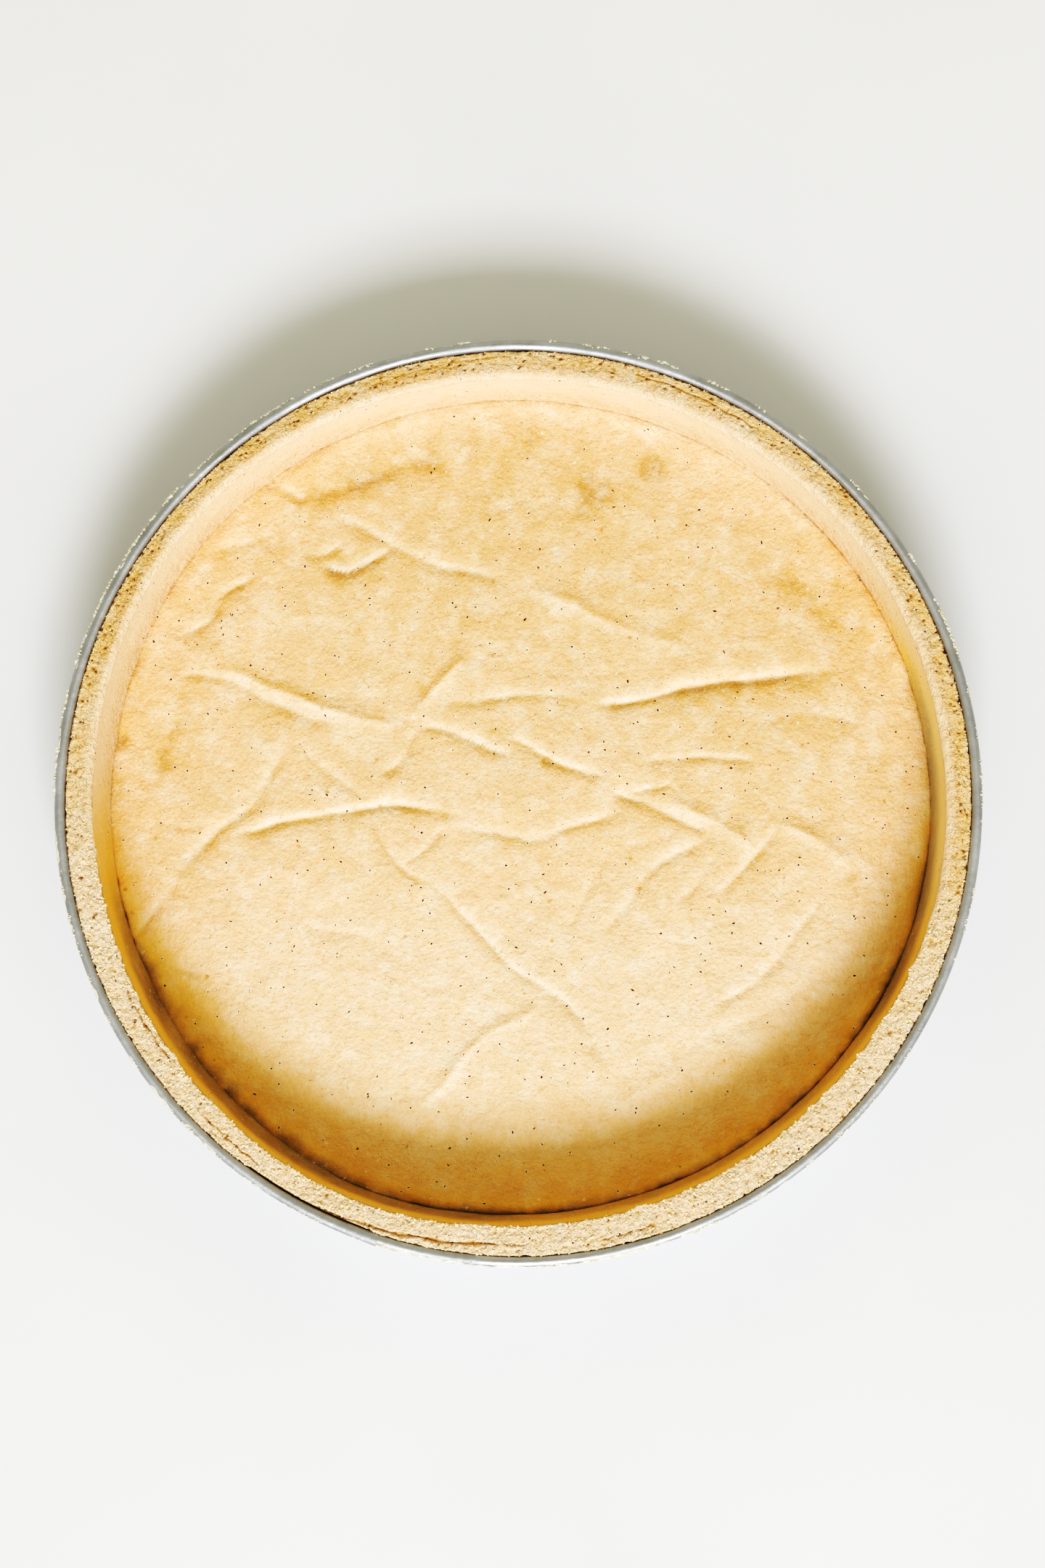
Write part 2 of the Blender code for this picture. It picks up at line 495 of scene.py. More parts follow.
    def math(self, kind: str, first: Socket, second: Socket | float) -> Socket:
        """Arithmetic of two values, clamped to 0 to 1.

        Args:
            kind: The operation.
            first: The first value.
            second: The second, or a number.

        Returns:
            A socket with the result.
        """
        node = self.nodes.new("ShaderNodeMath")
        node.operation = kind
        node.use_clamp = True
        self.put(first, node.inputs[0])
        self.put(second, node.inputs[1])
        return node.outputs["Value"]

    def blend(self, share: Socket, under: Socket | Colour, over: Socket | Colour) -> Socket:
        """A colour that goes from one to another.

        Args:
            share: 0 for the first colour to 1 for the second.
            under: The first.
            over: The second.

        Returns:
            A socket with the blended colour.
        """
        node = self.nodes.new("ShaderNodeMix")
        node.data_type = "RGBA"
        self.links.new(share, node.inputs["Factor"])
        self.put(under, node.inputs[6])
        self.put(over, node.inputs[7])
        return node.outputs[2]

    def bump(self, *heights: tuple[Socket, float]) -> None:
        """Roughens the shader's normal.

        Args:
            heights: Each a value from 0 to 1 and how many metres it stands for.
        """
        normal = None
        for value, depth in heights:
            node = self.add("ShaderNodeBump", Strength=1.0, Distance=depth)
            self.links.new(value, node.inputs["Height"])
            if normal is not None:
                self.links.new(normal, node.inputs["Normal"])
            normal = node.outputs["Normal"]
        self.feed("Normal", normal)


class Bake(Enum):
    """How the surface of the dough was left."""

    PRESSED = "pressed under paper"
    CUT = "cut or torn open"


@dataclass(frozen=True)
class ShortcrustFinish:
    """Pale short dough: cream with golden patches, bran specks, flour, a fine matt grain, and painted shade
    and highlights.
    """

    name: str
    surface: Bake
    cream: Colour = (0.925, 0.655, 0.43)
    stain_and_shade: Colour = (0.77, 0.50, 0.24)
    butter_and_shade: Colour = (0.885, 0.57, 0.13)
    shade_brown: Colour = (0.36, 0.28, 0.12)
    flour: Colour = (0.96, 0.86, 0.71)
    freckle: Colour = (0.60, 0.33, 0.11)
    bran: Colour = (0.16, 0.07, 0.02)

    def make(self) -> bpy.types.Material:
        """Builds the material from noise of several scales and from the piece's own attributes.

        "honey" says where the dough is tan: from stains, and from painted shade in folds, pores and hollows;
        tan at 1 and freckle brown at 2. "butter" says where it is golden at 1, partly the dough's colour and
        partly painted shadow, and painted-shade brown at 2. "pale" says where it is paler: flour, painted
        highlights and painted light, and "smooth" where a thumb or paper rubbed its grain away, both from 0
        to 1.

        Returns:
            The material.
        """
        bench = ShaderBench(self.name)
        pressed = self.surface is Bake.PRESSED
        stain_and_shade, butter_and_shade = bench.attribute("stain_and_shade"), bench.attribute("butter_and_shade")
        # Mottles and bump fade where the golden share is high, over the painted shadow as well.
        dry = bench.span(butter_and_shade, 0, 1, 1, 0.45)
        unrubbed = bench.span(bench.attribute("smooth"), 0, 1, 1, 0.3)
        coarse = bench.math("MULTIPLY", dry, unrubbed)

        drift = bench.span(bench.noise(48, 6, 0.62), 0.44, 0.74, 0, 0.34)
        colour = bench.blend(drift, self.cream, self.stain_and_shade)
        colour = bench.blend(stain_and_shade, colour, self.stain_and_shade)
        # Golden here is partly the dough's colour and partly painted shadow; the brown past 1 is painted
        # shade.
        colour = bench.blend(butter_and_shade, colour, self.butter_and_shade)
        colour = bench.blend(bench.span(stain_and_shade, 1, 2), colour, self.freckle)
        colour = bench.blend(bench.span(butter_and_shade, 1, 2), colour, self.shade_brown)
        colour = bench.blend(bench.attribute("pale"), colour, self.flour)
        fine = 1.0 if pressed else 1.25
        # Mottles from broad to fine: cells a metre, the two levels that they lie between, strength, colour.
        for scale, low, high, strength, over in (
            (150, 0.46, 0.74, 0.60, self.flour),
            (420, 0.47, 0.76, 0.50 * fine, self.stain_and_shade),
            (1500, 0.52, 0.72, 0.42 * fine, self.flour),
            (2300, 0.54, 0.74, 0.44 * fine, self.stain_and_shade),
        ):
            mottle = bench.span(bench.noise(scale, 5, 0.66), low, high, 0, strength)
            colour = bench.blend(bench.math("MULTIPLY", mottle, coarse), colour, over)
        # Then dots: flour, small tan flecks, larger brown spots and dark bran.
        bent = bench.shaken(1300, 1.2 * MM)
        colour = bench.blend(bench.dots(340, 0.09, 0.45, 0.09, bent), colour, self.flour)
        flecks = bench.math("MULTIPLY", bench.dots(620, 0.10, 0.35, 0.12, bent), 0.7)
        colour = bench.blend(flecks, colour, self.stain_and_shade)
        spots = bench.math("MULTIPLY", bench.dots(130, 0.04, 0.4, 0.06, bent), 0.7)
        colour = bench.blend(spots, colour, self.freckle)
        colour = bench.blend(bench.dots(340, 0.075, 0.45, 0.03, bent), colour, self.bran)
        bench.feed("Base Color", colour)
        bench.feed("Roughness", bench.span(bench.noise(160, 3), 0.3, 0.7, 0.58, 0.82))
        depth = 1.0 if pressed else 2.2
        bench.bump(
            (bench.math("MULTIPLY", bench.noise(330, 4, 0.6), coarse), 0.7 * MM * depth),
            (bench.math("MULTIPLY", bench.noise(900, 3, 0.6), coarse), 0.4 * MM * depth),
            (bench.noise(2400, 2, 0.6), 0.14 * MM * depth),
        )
        bench.set(Specular_IOR_Level=0.25, Subsurface_Weight=0.15)
        bench.set(Subsurface_Scale=2 * MM, Subsurface_Radius=(1.0, 0.8, 0.5))
        return bench.material


@dataclass(frozen=True)
class TinnedSteelFinish:
    """Rubbed tinned steel: fine lines round the tin, grey wear and a greasy bloom."""

    name: str = "tinned_steel_rubbed"
    bright: Colour = (0.56, 0.565, 0.565)
    worn: Colour = (0.42, 0.425, 0.42)

    def make(self) -> bpy.types.Material:
        """Builds the material; its lines follow the piece's UV map, whose U runs round the tin.

        Returns:
            The material.
        """
        bench = ShaderBench(self.name)
        lines_map = bench.nodes.new("ShaderNodeMapping")
        lines_map.inputs["Scale"].default_value = (14, 2600, 1)
        uv = bench.nodes.new("ShaderNodeUVMap")
        bench.links.new(uv.outputs["UV"], lines_map.inputs["Vector"])
        lines = bench.noise(1, 2, 0.6, lines_map.outputs["Vector"])
        wear = bench.span(bench.noise(90, 6, 0.7), 0.38, 0.72)
        bench.feed("Base Color", bench.blend(wear, self.bright, self.worn))
        rubbed = bench.span(bench.noise(70, 4), 0.3, 0.7, 0.42, 0.62)
        bench.feed("Roughness", bench.math("ADD", rubbed, bench.span(lines, 0.3, 0.7, 0, 0.10)))
        bench.bump((lines, 0.04 * MM), (bench.noise(420, 4, 0.6), 0.16 * MM))
        bench.set(Metallic=1.0)
        return bench.material


@dataclass(frozen=True)
class GrainFinish:
    """Small loose pieces, dry crumbs, dusty smears or flecks of bran, each a little lighter or darker."""

    name: str
    pale: Colour
    dark: Colour
    rough: float = 0.8

    def make(self) -> bpy.types.Material:
        """Builds the material.

        Returns:
            The material.
        """
        bench = ShaderBench(self.name)
        share = bench.span(bench.noise(700, 2), 0.35, 0.65)
        bench.feed("Base Color", bench.blend(share, self.pale, self.dark))
        bench.set(Roughness=self.rough, Specular_IOR_Level=0.3)
        bench.bump((bench.noise(2600, 2), 0.1 * MM))
        return bench.material


# The pastry floor ---------------------------------------------------------------------------------


@dataclass(frozen=True)
class Crease:
    """A fold of the baking paper pressed into the dough, in millimetres from the middle of the case.

    rise is its height (+ ridge, - groove), width its half width, and step how much higher the dough
    stands on the left of the route than on the right close to it.
    """

    name: str
    rise: float
    width: float
    route: tuple[tuple[float, float], ...]
    step: float = 0.0

    def relief(self, x: np.ndarray, y: np.ndarray) -> np.ndarray:
        """Height that the crease adds: a rounded cusp across it, fading at its ends and along it.

        Args:
            x: Places across the case.
            y: Places along the case.

        Returns:
            Heights in metres.
        """
        knots = np.array(self.route) * MM
        line = smooth_route(knots, 8 * len(knots))
        reach = 7 * self.width * MM
        near = (x > line[:, 0].min() - reach) & (x < line[:, 0].max() + reach)
        near &= (y > line[:, 1].min() - reach) & (y < line[:, 1].max() + reach)
        height = np.zeros_like(x)
        place = np.stack([x[near], y[near]], axis=1)
        start, run = line[:-1], np.diff(line, axis=0)
        rel = place[:, None, :] - start
        along = np.clip((rel * run).sum(-1) / (run**2).sum(-1), 0, 1)
        off = rel - along[..., None] * run
        distance = np.linalg.norm(off, axis=-1)
        best = distance.argmin(axis=1)
        pick = np.arange(len(place))
        gap = distance[pick, best] / (self.width * MM)
        side = np.sign(run[best, 0] * off[pick, best, 1] - run[best, 1] * off[pick, best, 0])
        share = (best + along[pick, best]) / len(start)
        fade = ease(share, 0, 0.2) * ease(1 - share, 0, 0.2)
        tip = np.sqrt(gap**2 + 0.1) - math.sqrt(0.1)
        travelled = share * np.linalg.norm(run, axis=1).sum() / MM
        uneven = 1 + 0.24 * np.sin(travelled / 5.5 + self.width * 9)
        shape = CREASE_DEPTH * self.rise * uneven * np.exp(-1.15 * tip)
        shape += CREASE_DEPTH * self.step * side * (1 - np.exp(-gap * 1.5)) * np.exp(-gap / 2.5)
        height[near] = shape * fade * MM
        return height


# How much deeper every crease is than its plain number says, for its ends and waists fade.
CREASE_DEPTH = 2.0
# Creases of at least this half width in mm are soft dips that hold butter; narrower ones are crisp.
SOFT_WIDTH = 2.2

CREASES = (
    Crease("long_fold_west", 0.46, 1.6, (
        (-84, 37.5), (-75, 35), (-68, 31.7), (-60, 28.9), (-50, 25.3), (-40, 22.9), (-30, 21))),
    Crease("long_fold_foot", -0.34, 1.5, (
        (-95, 35), (-86, 35.2), (-78, 33), (-70, 28.5), (-60, 24.2), (-48, 20))),
    Crease("long_fold_middle", -0.46, 1.2, (
        (-29, 21.6), (-21.5, 20.3), (-14.6, 17.7), (-8, 15), (0, 11.8)), 0.08),
    Crease("long_fold_inner", -0.42, 1.2, (
        (-5, 18.6), (1, 16.8), (6, 13.8), (12, 10.4), (18.5, 8.5), (27, 7)), 0.08),
    Crease("knot_pit", -0.55, 1.1, ((26, 3), (30, 1), (34, 0))),
    Crease("knot_line", -0.34, 1.0, ((30, 2.2), (35, 3.8), (43, 5.2))),
    Crease("long_fold_east", 0.5, 1.6, ((40, 1.5), (47, -2.2), (54, -5), (60, -8.6), (66, -14))),
    Crease("long_fold_east_foot", -0.36, 1.3, ((30, 2), (38, -2), (45, -5.4), (54, -9))),
    Crease("north_east_groove", -0.66, 1.4, (
        (18, 27), (26, 27.3), (34, 28.2), (40, 29.9), (47, 32.2), (58, 33.4), (70, 34.6), (92, 37))),
    Crease("north_east_rise", -0.2, 2.4, ((38, 31), (50, 34), (68, 35.5), (90, 38)), 0.35),
    Crease("north_middle", -0.3, 1.2, ((-24, 27.6), (-12, 28.2), (0, 29.4), (10, 29.4), (20, 28.2))),
    Crease("south_west_groove", -0.6, 1.3, (
        (-81, -9), (-72, -7.3), (-67, -5.4), (-58, -3.8), (-48, -2.4), (-40, -1.3), (-32, -0.6),
        (-24, -1.7), (-13, -3.8)), 0.12),
    Crease("middle_groove", -0.34, 1.3, (
        (-25, -7), (-9, -7.9), (-1, -9.6), (4, -10.4), (10, -8.2), (16, -6), (23, -4.2), (32, -0.5))),
    Crease("hook_left", -0.34, 1.2, ((-41, -2), (-38, -9), (-35, -14.5), (-30, -19.3), (-24, -21.6))),
    Crease("hook_right", -0.32, 1.2, ((-32.5, -17.5), (-27, -14.2), (-23, -10.4), (-21, -6))),
    Crease("south_fold", -0.42, 1.1, (
        (-28, -19.5), (-20, -25), (-17, -29), (-11.2, -35), (-4, -43), (1, -47), (8, -51), (13, -55),
        (19, -62), (23, -69)), 0.08),
    Crease("south_branch", 0.48, 1.6, (
        (7, -53.5), (1, -58), (-8, -62.4), (-13, -67), (-17.3, -72.5), (-22, -78), (-31, -85))),
    Crease("north_fold", -0.38, 1.4, (
        (-53, 81), (-44, 76.3), (-37, 72.6), (-30, 68.8), (-24, 66), (-18, 64.5), (-10, 62.9),
        (1, 58.5)), 0.08),
    Crease("north_fold_east", 0.34, 1.8, (
        (-2, 60.5), (8, 57.3), (14, 55.3), (20, 52), (29, 48), (40, 45), (52, 41))),
    Crease("cross_fold", 0.36, 1.4, (
        (-13.5, 42), (-19.5, 35.5), (-23.4, 31.6), (-27.6, 26.5), (-29, 22.5))),
    Crease("cross_fold_south", -0.34, 1.3, (
        (-27.4, 22), (-30, 16.5), (-31.8, 12.8), (-34.5, 9.8), (-40, 8))),
    Crease("north_cross", -0.2, 1.5, ((-9, 78), (-12, 64), (-15.5, 52), (-18, 40))),
    Crease("west_short", -0.2, 1.3, ((-62, 18), (-55, 11), (-50, 6.8), (-45, 3.4), (-40, 0))),
    Crease("west_fold", -0.46, 1.6, (
        (-63, 17), (-67.5, 9), (-73, -0.3), (-79.5, -5.5), (-84, -9.5), (-89, -15), (-96, -24))),
    Crease("west_fold_end", -0.4, 1.8, ((-93, -20), (-99, -29), (-106, -38))),
    Crease("far_west", -0.3, 2.4, ((-91, 36), (-93.5, 27), (-96, 17), (-99, 7))),
    Crease("west_hair", -0.16, 1.2, ((-97, -5.6), (-91, -6.6), (-85, -6))),
    Crease("plateau_north_west", -0.5, 2.4, (
        (-66, 86), (-56, 84.8), (-50, 86), (-45, 88.3), (-40, 90.3), (-33, 93.3), (-25, 93),
        (-15, 91)), -0.1),
    Crease("plateau_corner", -0.4, 1.6, ((-58, 83), (-64, 86), (-72, 90.5))),
    Crease("dent_long", -0.6, 1.4, (
        (-56, 66.5), (-50, 64.2), (-46, 64.2), (-42, 66.2), (-38, 68.4), (-33, 72))),
    Crease("dent_far", -0.34, 1.2, ((-61, 70), (-56.5, 68.2), (-52, 69.5), (-48, 72))),
    Crease("lump_edge", -0.55, 1.5, (
        (-70, 64), (-78, 60), (-82.5, 56.5), (-84, 51.5), (-88, 48.5), (-95, 45))),
    Crease("east_crosswise", -0.26, 1.2, ((33, 11), (40, 12), (50, 12.5), (60, 12), (67, 10.5))),
    Crease("east_fold", 0.36, 1.4, ((70, -4.8), (78, -8), (82, -10.8), (87, -14.5), (94, -20))),
    Crease("east_branch", -0.34, 1.3, ((72, -5.5), (66, -13), (59.5, -20.3), (54, -26))),
    Crease("east_short", -0.22, 1.4, ((53, -14), (50, -21), (43, -28))),
    Crease("east_long", -0.3, 1.4, (
        (55, -8.5), (44, -13.5), (36.5, -18), (33, -22), (29, -28.5), (20, -38.5))),
    Crease("east_pair", -0.24, 1.4, ((26, -11), (20.8, -20.5), (16, -30), (12.5, -37))),
    Crease("south_east", -0.36, 1.3, (
        (86, -23), (79, -31), (74.5, -37), (70, -43), (65, -48.4), (58, -53), (50, -56))),
    Crease("south_east_return", -0.16, 1.8, ((84, -44), (70, -56), (50, -64), (34, -71))),
    Crease("north_west_slack", -0.24, 2.0, ((-88, 68), (-76, 72), (-66, 75))),
    Crease("east_slack", -0.2, 1.8, ((66, 22), (80, 24), (96, 20))),
    Crease("south_slack", -0.18, 2.0, ((-60, -34), (-44, -36), (-30, -44))),
    Crease("south_far_slack", 0.2, 2.0, ((24, -84), (36, -76), (46, -72))),
    Crease("south_west_slack", -0.24, 1.8, ((-104, -36), (-96, -44), (-84, -48))),
    Crease("north_east_return", -0.26, 2.6, ((68, 65), (76, 60.5), (83, 53), (89, 40))),
)


@dataclass(frozen=True)
class Patch:
    """A round dent, lump or stain on the floor, in mm: where it is, how wide, how high and how stained."""

    x: float
    y: float
    radius: float
    rise: float
    gold: float

    def share(self, x: np.ndarray, y: np.ndarray) -> np.ndarray:
        """A bell of height 1 round the patch's middle."""
        return np.exp(-((x / MM - self.x) ** 2 + (y / MM - self.y) ** 2) / self.radius**2)


PATCHES = tuple(
    Patch(*numbers)
    for numbers in (
        (20, 87, 3.4, -0.25, 2.8), (37, 92, 3.6, -0.2, 2.1), (26, 81, 7, -0.1, 0.33),
        (4, 98.5, 5, -0.2, 0.6), (-52, 85, 3.5, 0, 0.6), (-43, 88.5, 3.8, 0, 0.95),
        (-34, 92.5, 3.8, 0, 1.05), (-25, 94.5, 3.6, 0, 0.95), (-14, 97.5, 4, 0, 0.5),
        (17.5, 80.5, 2.2, -0.1, 1.0), (-77, 54, 7, 0.5, -0.1), (-45, 70, 5, 0.35, -0.1),
        (-44, 65, 4, 0, 0.85), (-50, 64.5, 3, 0, 1.6), (-41, 66.8, 3, 0, 0.5), (-57, 68.8, 2, 0, 0.5),
        (-84, 53, 2.5, 0, 0.45), (-79, 60, 2.5, 0, 0.35), (-87, 49.5, 2.5, 0, 0.35),
        (-97, 32, 5, 0.3, -0.1), (-106, 40, 3, -0.9, 0.9), (-109, 18, 2.6, -1.1, 0.7),
        (-98, 10, 2.6, -0.1, 0.52), (-82.5, -54, 4.2, -0.25, 0.75), (-75, -52, 14, 0, 0.12),
        (19.5, -67.5, 3, -0.2, 0.52), (29, 8.6, 5.2, 0.4, -0.15), (30, 0.6, 1.8, -0.1, 0.75),
        (7.5, 11.2, 1.3, -0.2, 1.05), (-6.5, 18.4, 2, 0, 0.52), (-26.5, 32, 1.6, -0.1, 0.75),
        (-20, -3, 1.4, -0.1, 0.6), (91, -20, 1.6, -0.35, 0.6), (92.5, -24, 1.4, -0.3, 0.6),
        (104, 38.5, 3.2, 0.7, -0.2), (108, 31, 3, -0.4, 1.05), (74, 58, 34, 0, 0.24),
        (88, 4, 34, 0, 0.15), (-92, 0, 30, 0, 0.12), (0, 90, 34, 0, 0.26), (60, -4, 9, 0, 0.12),
        (-58, 30, 8, 0, 0.15),
    )
)


@dataclass
class PastryFloor:
    """The disc of dough on the tin's base, marked by the paper that was pressed on it."""

    sizes: CaseSizes
    cells: int = 290
    overlap: float = 0.15 * MM
    side_depth: float = 2.2 * MM
    swell: float = 0.25 * MM
    swell_length: float = 72 * MM
    raised_edge: float = 0.4 * MM
    seed: int = 11

    def near_side(self, angle: np.ndarray) -> np.ndarray:
        """1 along the near half of the edge, where the joint with the wall stayed open, and 0 behind."""
        return in_sector(angle, 196, 345, 20)

    def open_joint(self, angle: np.ndarray) -> np.ndarray:
        """How open the joint with the wall is: 1 on the near half, less at the far right and the left.

        Args:
            angle: Angles in radians.

        Returns:
            Shares from 0 to 1.
        """
        far_right = 0.65 * in_sector(angle, 4, 42, 12) + 0.25 * in_sector(angle, 60, 80, 12)
        left = 0.4 * in_sector(angle, 148, 190, 12)
        return np.maximum(self.near_side(angle), far_right + left)

    def edge_radius(self, angle: np.ndarray) -> np.ndarray:
        """Radius of the disc's edge: the wall's, with an overlap, less ragged bites at an open joint.

        Args:
            angle: Angles in radians.

        Returns:
            Radii in metres.
        """
        radius = self.sizes.pastry_inner
        ragged = 0.17 * MM * (1 + ring_noise(angle, radius, 4 * MM, self.seed, 4))
        bitten = 0.2 + 0.35 * ease(ring_noise(angle, radius, 2.4 * MM, self.seed + 31, 3), -0.1, 0.5)
        return self.sizes.inner_radius(angle) + self.overlap - ragged - bitten * MM * self.open_joint(angle)

    def relief(self, x: np.ndarray, y: np.ndarray) -> np.ndarray:
        """Height of the dough over its level: the swell, creases, patches, a raised edge and a fine grain.

        Args:
            x: Places across the case.
            y: Places along the case.

        Returns:
            Heights in metres.
        """
        flat = np.stack([x, y, np.zeros_like(x)], axis=1)
        radius = np.hypot(x, y)
        turn = TURN / self.swell_length
        fade = np.clip(1 - radius / self.sizes.pastry_inner, 0, 1)
        height = self.swell * fade * (np.sin(turn * (x + 0.4 * y)) + np.cos(turn * (y - 0.3 * x)))
        # The folds waver a little, because they are read at places that slow noise pushes about.
        push = np.stack([soft_noise(flat, 7 * MM, self.seed + k) for k in (1, 2)], axis=1)
        bent_x, bent_y = (flat[:, :2] + 0.7 * MM * push).T
        height += self.folds(bent_x, bent_y, soft=False) + self.folds(bent_x, bent_y, soft=True)
        for patch in PATCHES:
            height += patch.rise * MM * patch.share(bent_x, bent_y)
        for rise, cell, step in ((0.30, 14, 5), (0.21, 6, 8), (0.075, 1.9, 6)):
            height += rise * MM * layered_noise(flat, cell * MM, self.seed + step, 2)
        lip = self.sizes.pastry_inner - radius
        crest = np.exp(-(((lip - 2.5 * MM) / (2.2 * MM)) ** 2))
        height += self.raised_edge * crest * (1 + soft_noise(flat, 8 * MM, 21))
        return height

    def folds(self, x: np.ndarray, y: np.ndarray, soft: bool) -> np.ndarray:
        """Height that the wide soft creases add together, or the crisp ones."""
        return sum(crease.relief(x, y) for crease in CREASES if (crease.width >= SOFT_WIDTH) == soft)

    def tones(self, x: np.ndarray, y: np.ndarray) -> dict[str, np.ndarray]:
        """How stained, golden and floury the dough is, and where light and shade are painted on it.

        It is tan in stains, in grooves, towards the far side and on the flanks of folds that face the far
        side; in the grooves of crisp folds and on their flanks that face away from the lamp the tan is
        painted shade. It is floury beside the far wall, and paler with a painted highlight on the flanks
        that face the near side and with painted light over the near half. It is golden in a band inside the
        near wall, whose width follows the distance to the wall along Y: partly the dough's colour and partly
        painted shadow of the near wall. It is tan along the joint, with painted shade, brown, in the corner
        of the near half.

        Args:
            x: Places across the case.
            y: Places along the case.

        Returns:
            The shares "honey", "butter" and "pale" of each place.
        """
        flat = np.stack([x, y, np.zeros_like(x)], axis=1)
        mottle = layered_noise(flat, 3.5 * MM, self.seed + 13, 3)
        stain_and_shade = sum(patch.gold * patch.share(x, y) for patch in PATCHES) * (1 + 1.3 * mottle)
        # Painted shade: tan on the flanks of crisp folds that face the far side, away from the lamp, and in
        # their grooves.
        step = 0.35 * MM
        slope = (self.folds(x, y + step, soft=False) - self.folds(x, y - step, soft=False)) / (2 * step)
        stain_and_shade += 1.6 * np.clip(-slope, 0, 0.6) + np.clip(-self.folds(x, y, soft=False) / (4 * MM), 0, 0.3)
        stain_and_shade += np.clip(-self.folds(x, y, soft=True) / (1.1 * MM), 0, 0.7) * (1 + 0.8 * mottle)
        slow = layered_noise(flat, 16 * MM, self.seed + 9, 3)
        stain_and_shade += 0.08 * slow + 0.24 * layered_noise(flat, 5 * MM, 17, 3)
        stain_and_shade += 0.36 * ease(y, -40 * MM, 60 * MM)
        radius, angle = np.hypot(x, y), np.arctan2(y, x)
        near = self.near_side(angle)
        inset = np.maximum(self.edge_radius(angle) - radius + 0.5 * MM * mottle, 0)
        stain_and_shade = np.clip(stain_and_shade, 0, 1.7) + (0.3 + 0.9 * self.open_joint(angle)) * np.exp(-inset / (0.6 * MM))
        # Painted shade: brown in the corner along the near half of the joint, widest from bearing 205 to
        # 238.
        reach = (2.3 + 2.0 * in_sector(angle, 205, 238, 10)) * MM
        brown = 1.55 * near * (1 + 0.5 * mottle) * np.exp(-inset / reach)
        # Painted shade: tan in the corner along the floor's left edge.
        stain_and_shade += 0.5 * in_sector(angle, 166, 196, 14) * np.exp(-inset / (5 * MM))
        # Painted shadow: golden in the near wall's cast shadow, its width set by the distance to the wall
        # along Y; partly the dough's own colour.
        shaded = inset / np.maximum(-np.sin(angle), 0.12)
        painted_shadow = 0.6 * in_sector(angle, 205, 350, 20) * np.exp(-((shaded / (20 * MM)) ** 2))
        butter_and_shade = brown + painted_shadow * (1 + 0.4 * mottle)
        dry = in_sector(angle, 50, 112, 14) * np.exp(-inset / (8 * MM))
        # Painted light: paler over the near half, brighter towards the lamp, except in the painted shadow.
        dry += 0.6 * ease(-y, 15 * MM, 50 * MM) * (1 - np.clip(2 * butter_and_shade, 0, 1))
        # Painted highlight: paler on the flanks of crisp folds that face the near side and the lamp.
        pale = (1.15 * np.clip(slope, 0, 0.6) + 0.4 * dry) * (1 + 0.5 * mottle)
        return {"stain_and_shade": np.clip(stain_and_shade, 0, 2), "butter_and_shade": np.clip(butter_and_shade, 0, 2), "pale": np.clip(pale, 0, 1)}

    def top_points(self) -> np.ndarray:
        """Points of the upper surface on a square grid whose rings of squares become rings of circles.

        The ring that a grid point is on, its larger coordinate, becomes its share of the disc's radius, and
        its place round that square becomes its angle, so cells stay of nearly one size.

        Returns:
            Points, shape ((cells + 1) squared, 3).
        """
        half = self.cells // 2
        u, v = np.meshgrid(np.arange(-half, half + 1), np.arange(-half, half + 1))
        ring = np.maximum(np.abs(u), np.abs(v)).astype(float)
        safe = np.maximum(ring, 1)
        across = np.where(u >= 0, 0.0, math.pi) + (v / safe) * np.where(u >= 0, 1, -1) * math.pi / 4
        upright = np.where(v >= 0, 1, -1) * math.pi / 2 - (u / safe) * np.where(v >= 0, 1, -1) * math.pi / 4
        angle = np.where(np.abs(u) >= np.abs(v), across, upright).ravel()
        share = ring.ravel() / half
        # The outer rings crowd towards the edge, so that its rounding has enough rows.
        share = 1 - (1 - share) * (1 - 0.45 * share**8)
        edge = self.edge_radius(angle)
        radius = share * edge
        x, y = radius * np.cos(angle), radius * np.sin(angle)
        z = self.sizes.floor_level + self.relief(x, y)
        filled = 1 - 0.8 * in_sector(angle, 207, 255, 12)
        rounding = (0.55 + 0.3 * self.open_joint(angle) * filled) * MM
        past = np.maximum(rounding - (edge - radius), 0)
        drop = rounding - np.sqrt(np.maximum(rounding**2 - past**2, 0))
        return np.stack([x, y, z - drop], axis=1)

    def build(self) -> bpy.types.Object:
        """The closed disc: relief on top, a rounded edge, a side down to the tin and a flat underside.

        Returns:
            The floor, with its tones as attributes.
        """
        side = self.cells + 1
        top = self.top_points()
        index = np.arange(side * side).reshape(side, side)
        quads = np.stack([index[:-1, :-1], index[:-1, 1:], index[1:, 1:], index[1:, :-1]], axis=-1)
        border = np.concatenate([index[0, :-1], index[:-1, -1], index[-1, :0:-1], index[:0:-1, 0]])
        levels = np.linspace(self.sizes.floor_level - self.side_depth, self.sizes.pastry_bottom, 4)
        edge = top[border, :2]
        rings = [np.column_stack([edge, np.full(len(edge), level)]) for level in levels]
        first = len(top)
        count = len(border)
        ids = np.vstack([border, first + np.arange(count * len(levels)).reshape(len(levels), count)])
        nxt = np.roll(ids, -1, axis=1)
        wall = np.stack([ids[:-1], ids[1:], nxt[1:], nxt[:-1]], axis=-1).reshape(-1, 4)
        centre = first + count * len(levels)
        fan = np.stack([np.full(count, centre), nxt[-1], ids[-1]], axis=-1)
        quads = quads.reshape(-1, 4)
        points = np.vstack([top, *rings, [[0, 0, self.sizes.pastry_bottom]]])
        floor = mesh_piece("pastry_floor", points, np.vstack([quads, wall]), fan)
        for name, values in self.tones(points[:, 0], points[:, 1]).items():
            set_attribute(floor, name, values)
        return floor

    def surface_height(self, x: np.ndarray, y: np.ndarray) -> np.ndarray:
        """Level of the floor's surface at places clear of its edge."""
        return self.sizes.floor_level + self.relief(x, y)


# The pastry wall ----------------------------------------------------------------------------------


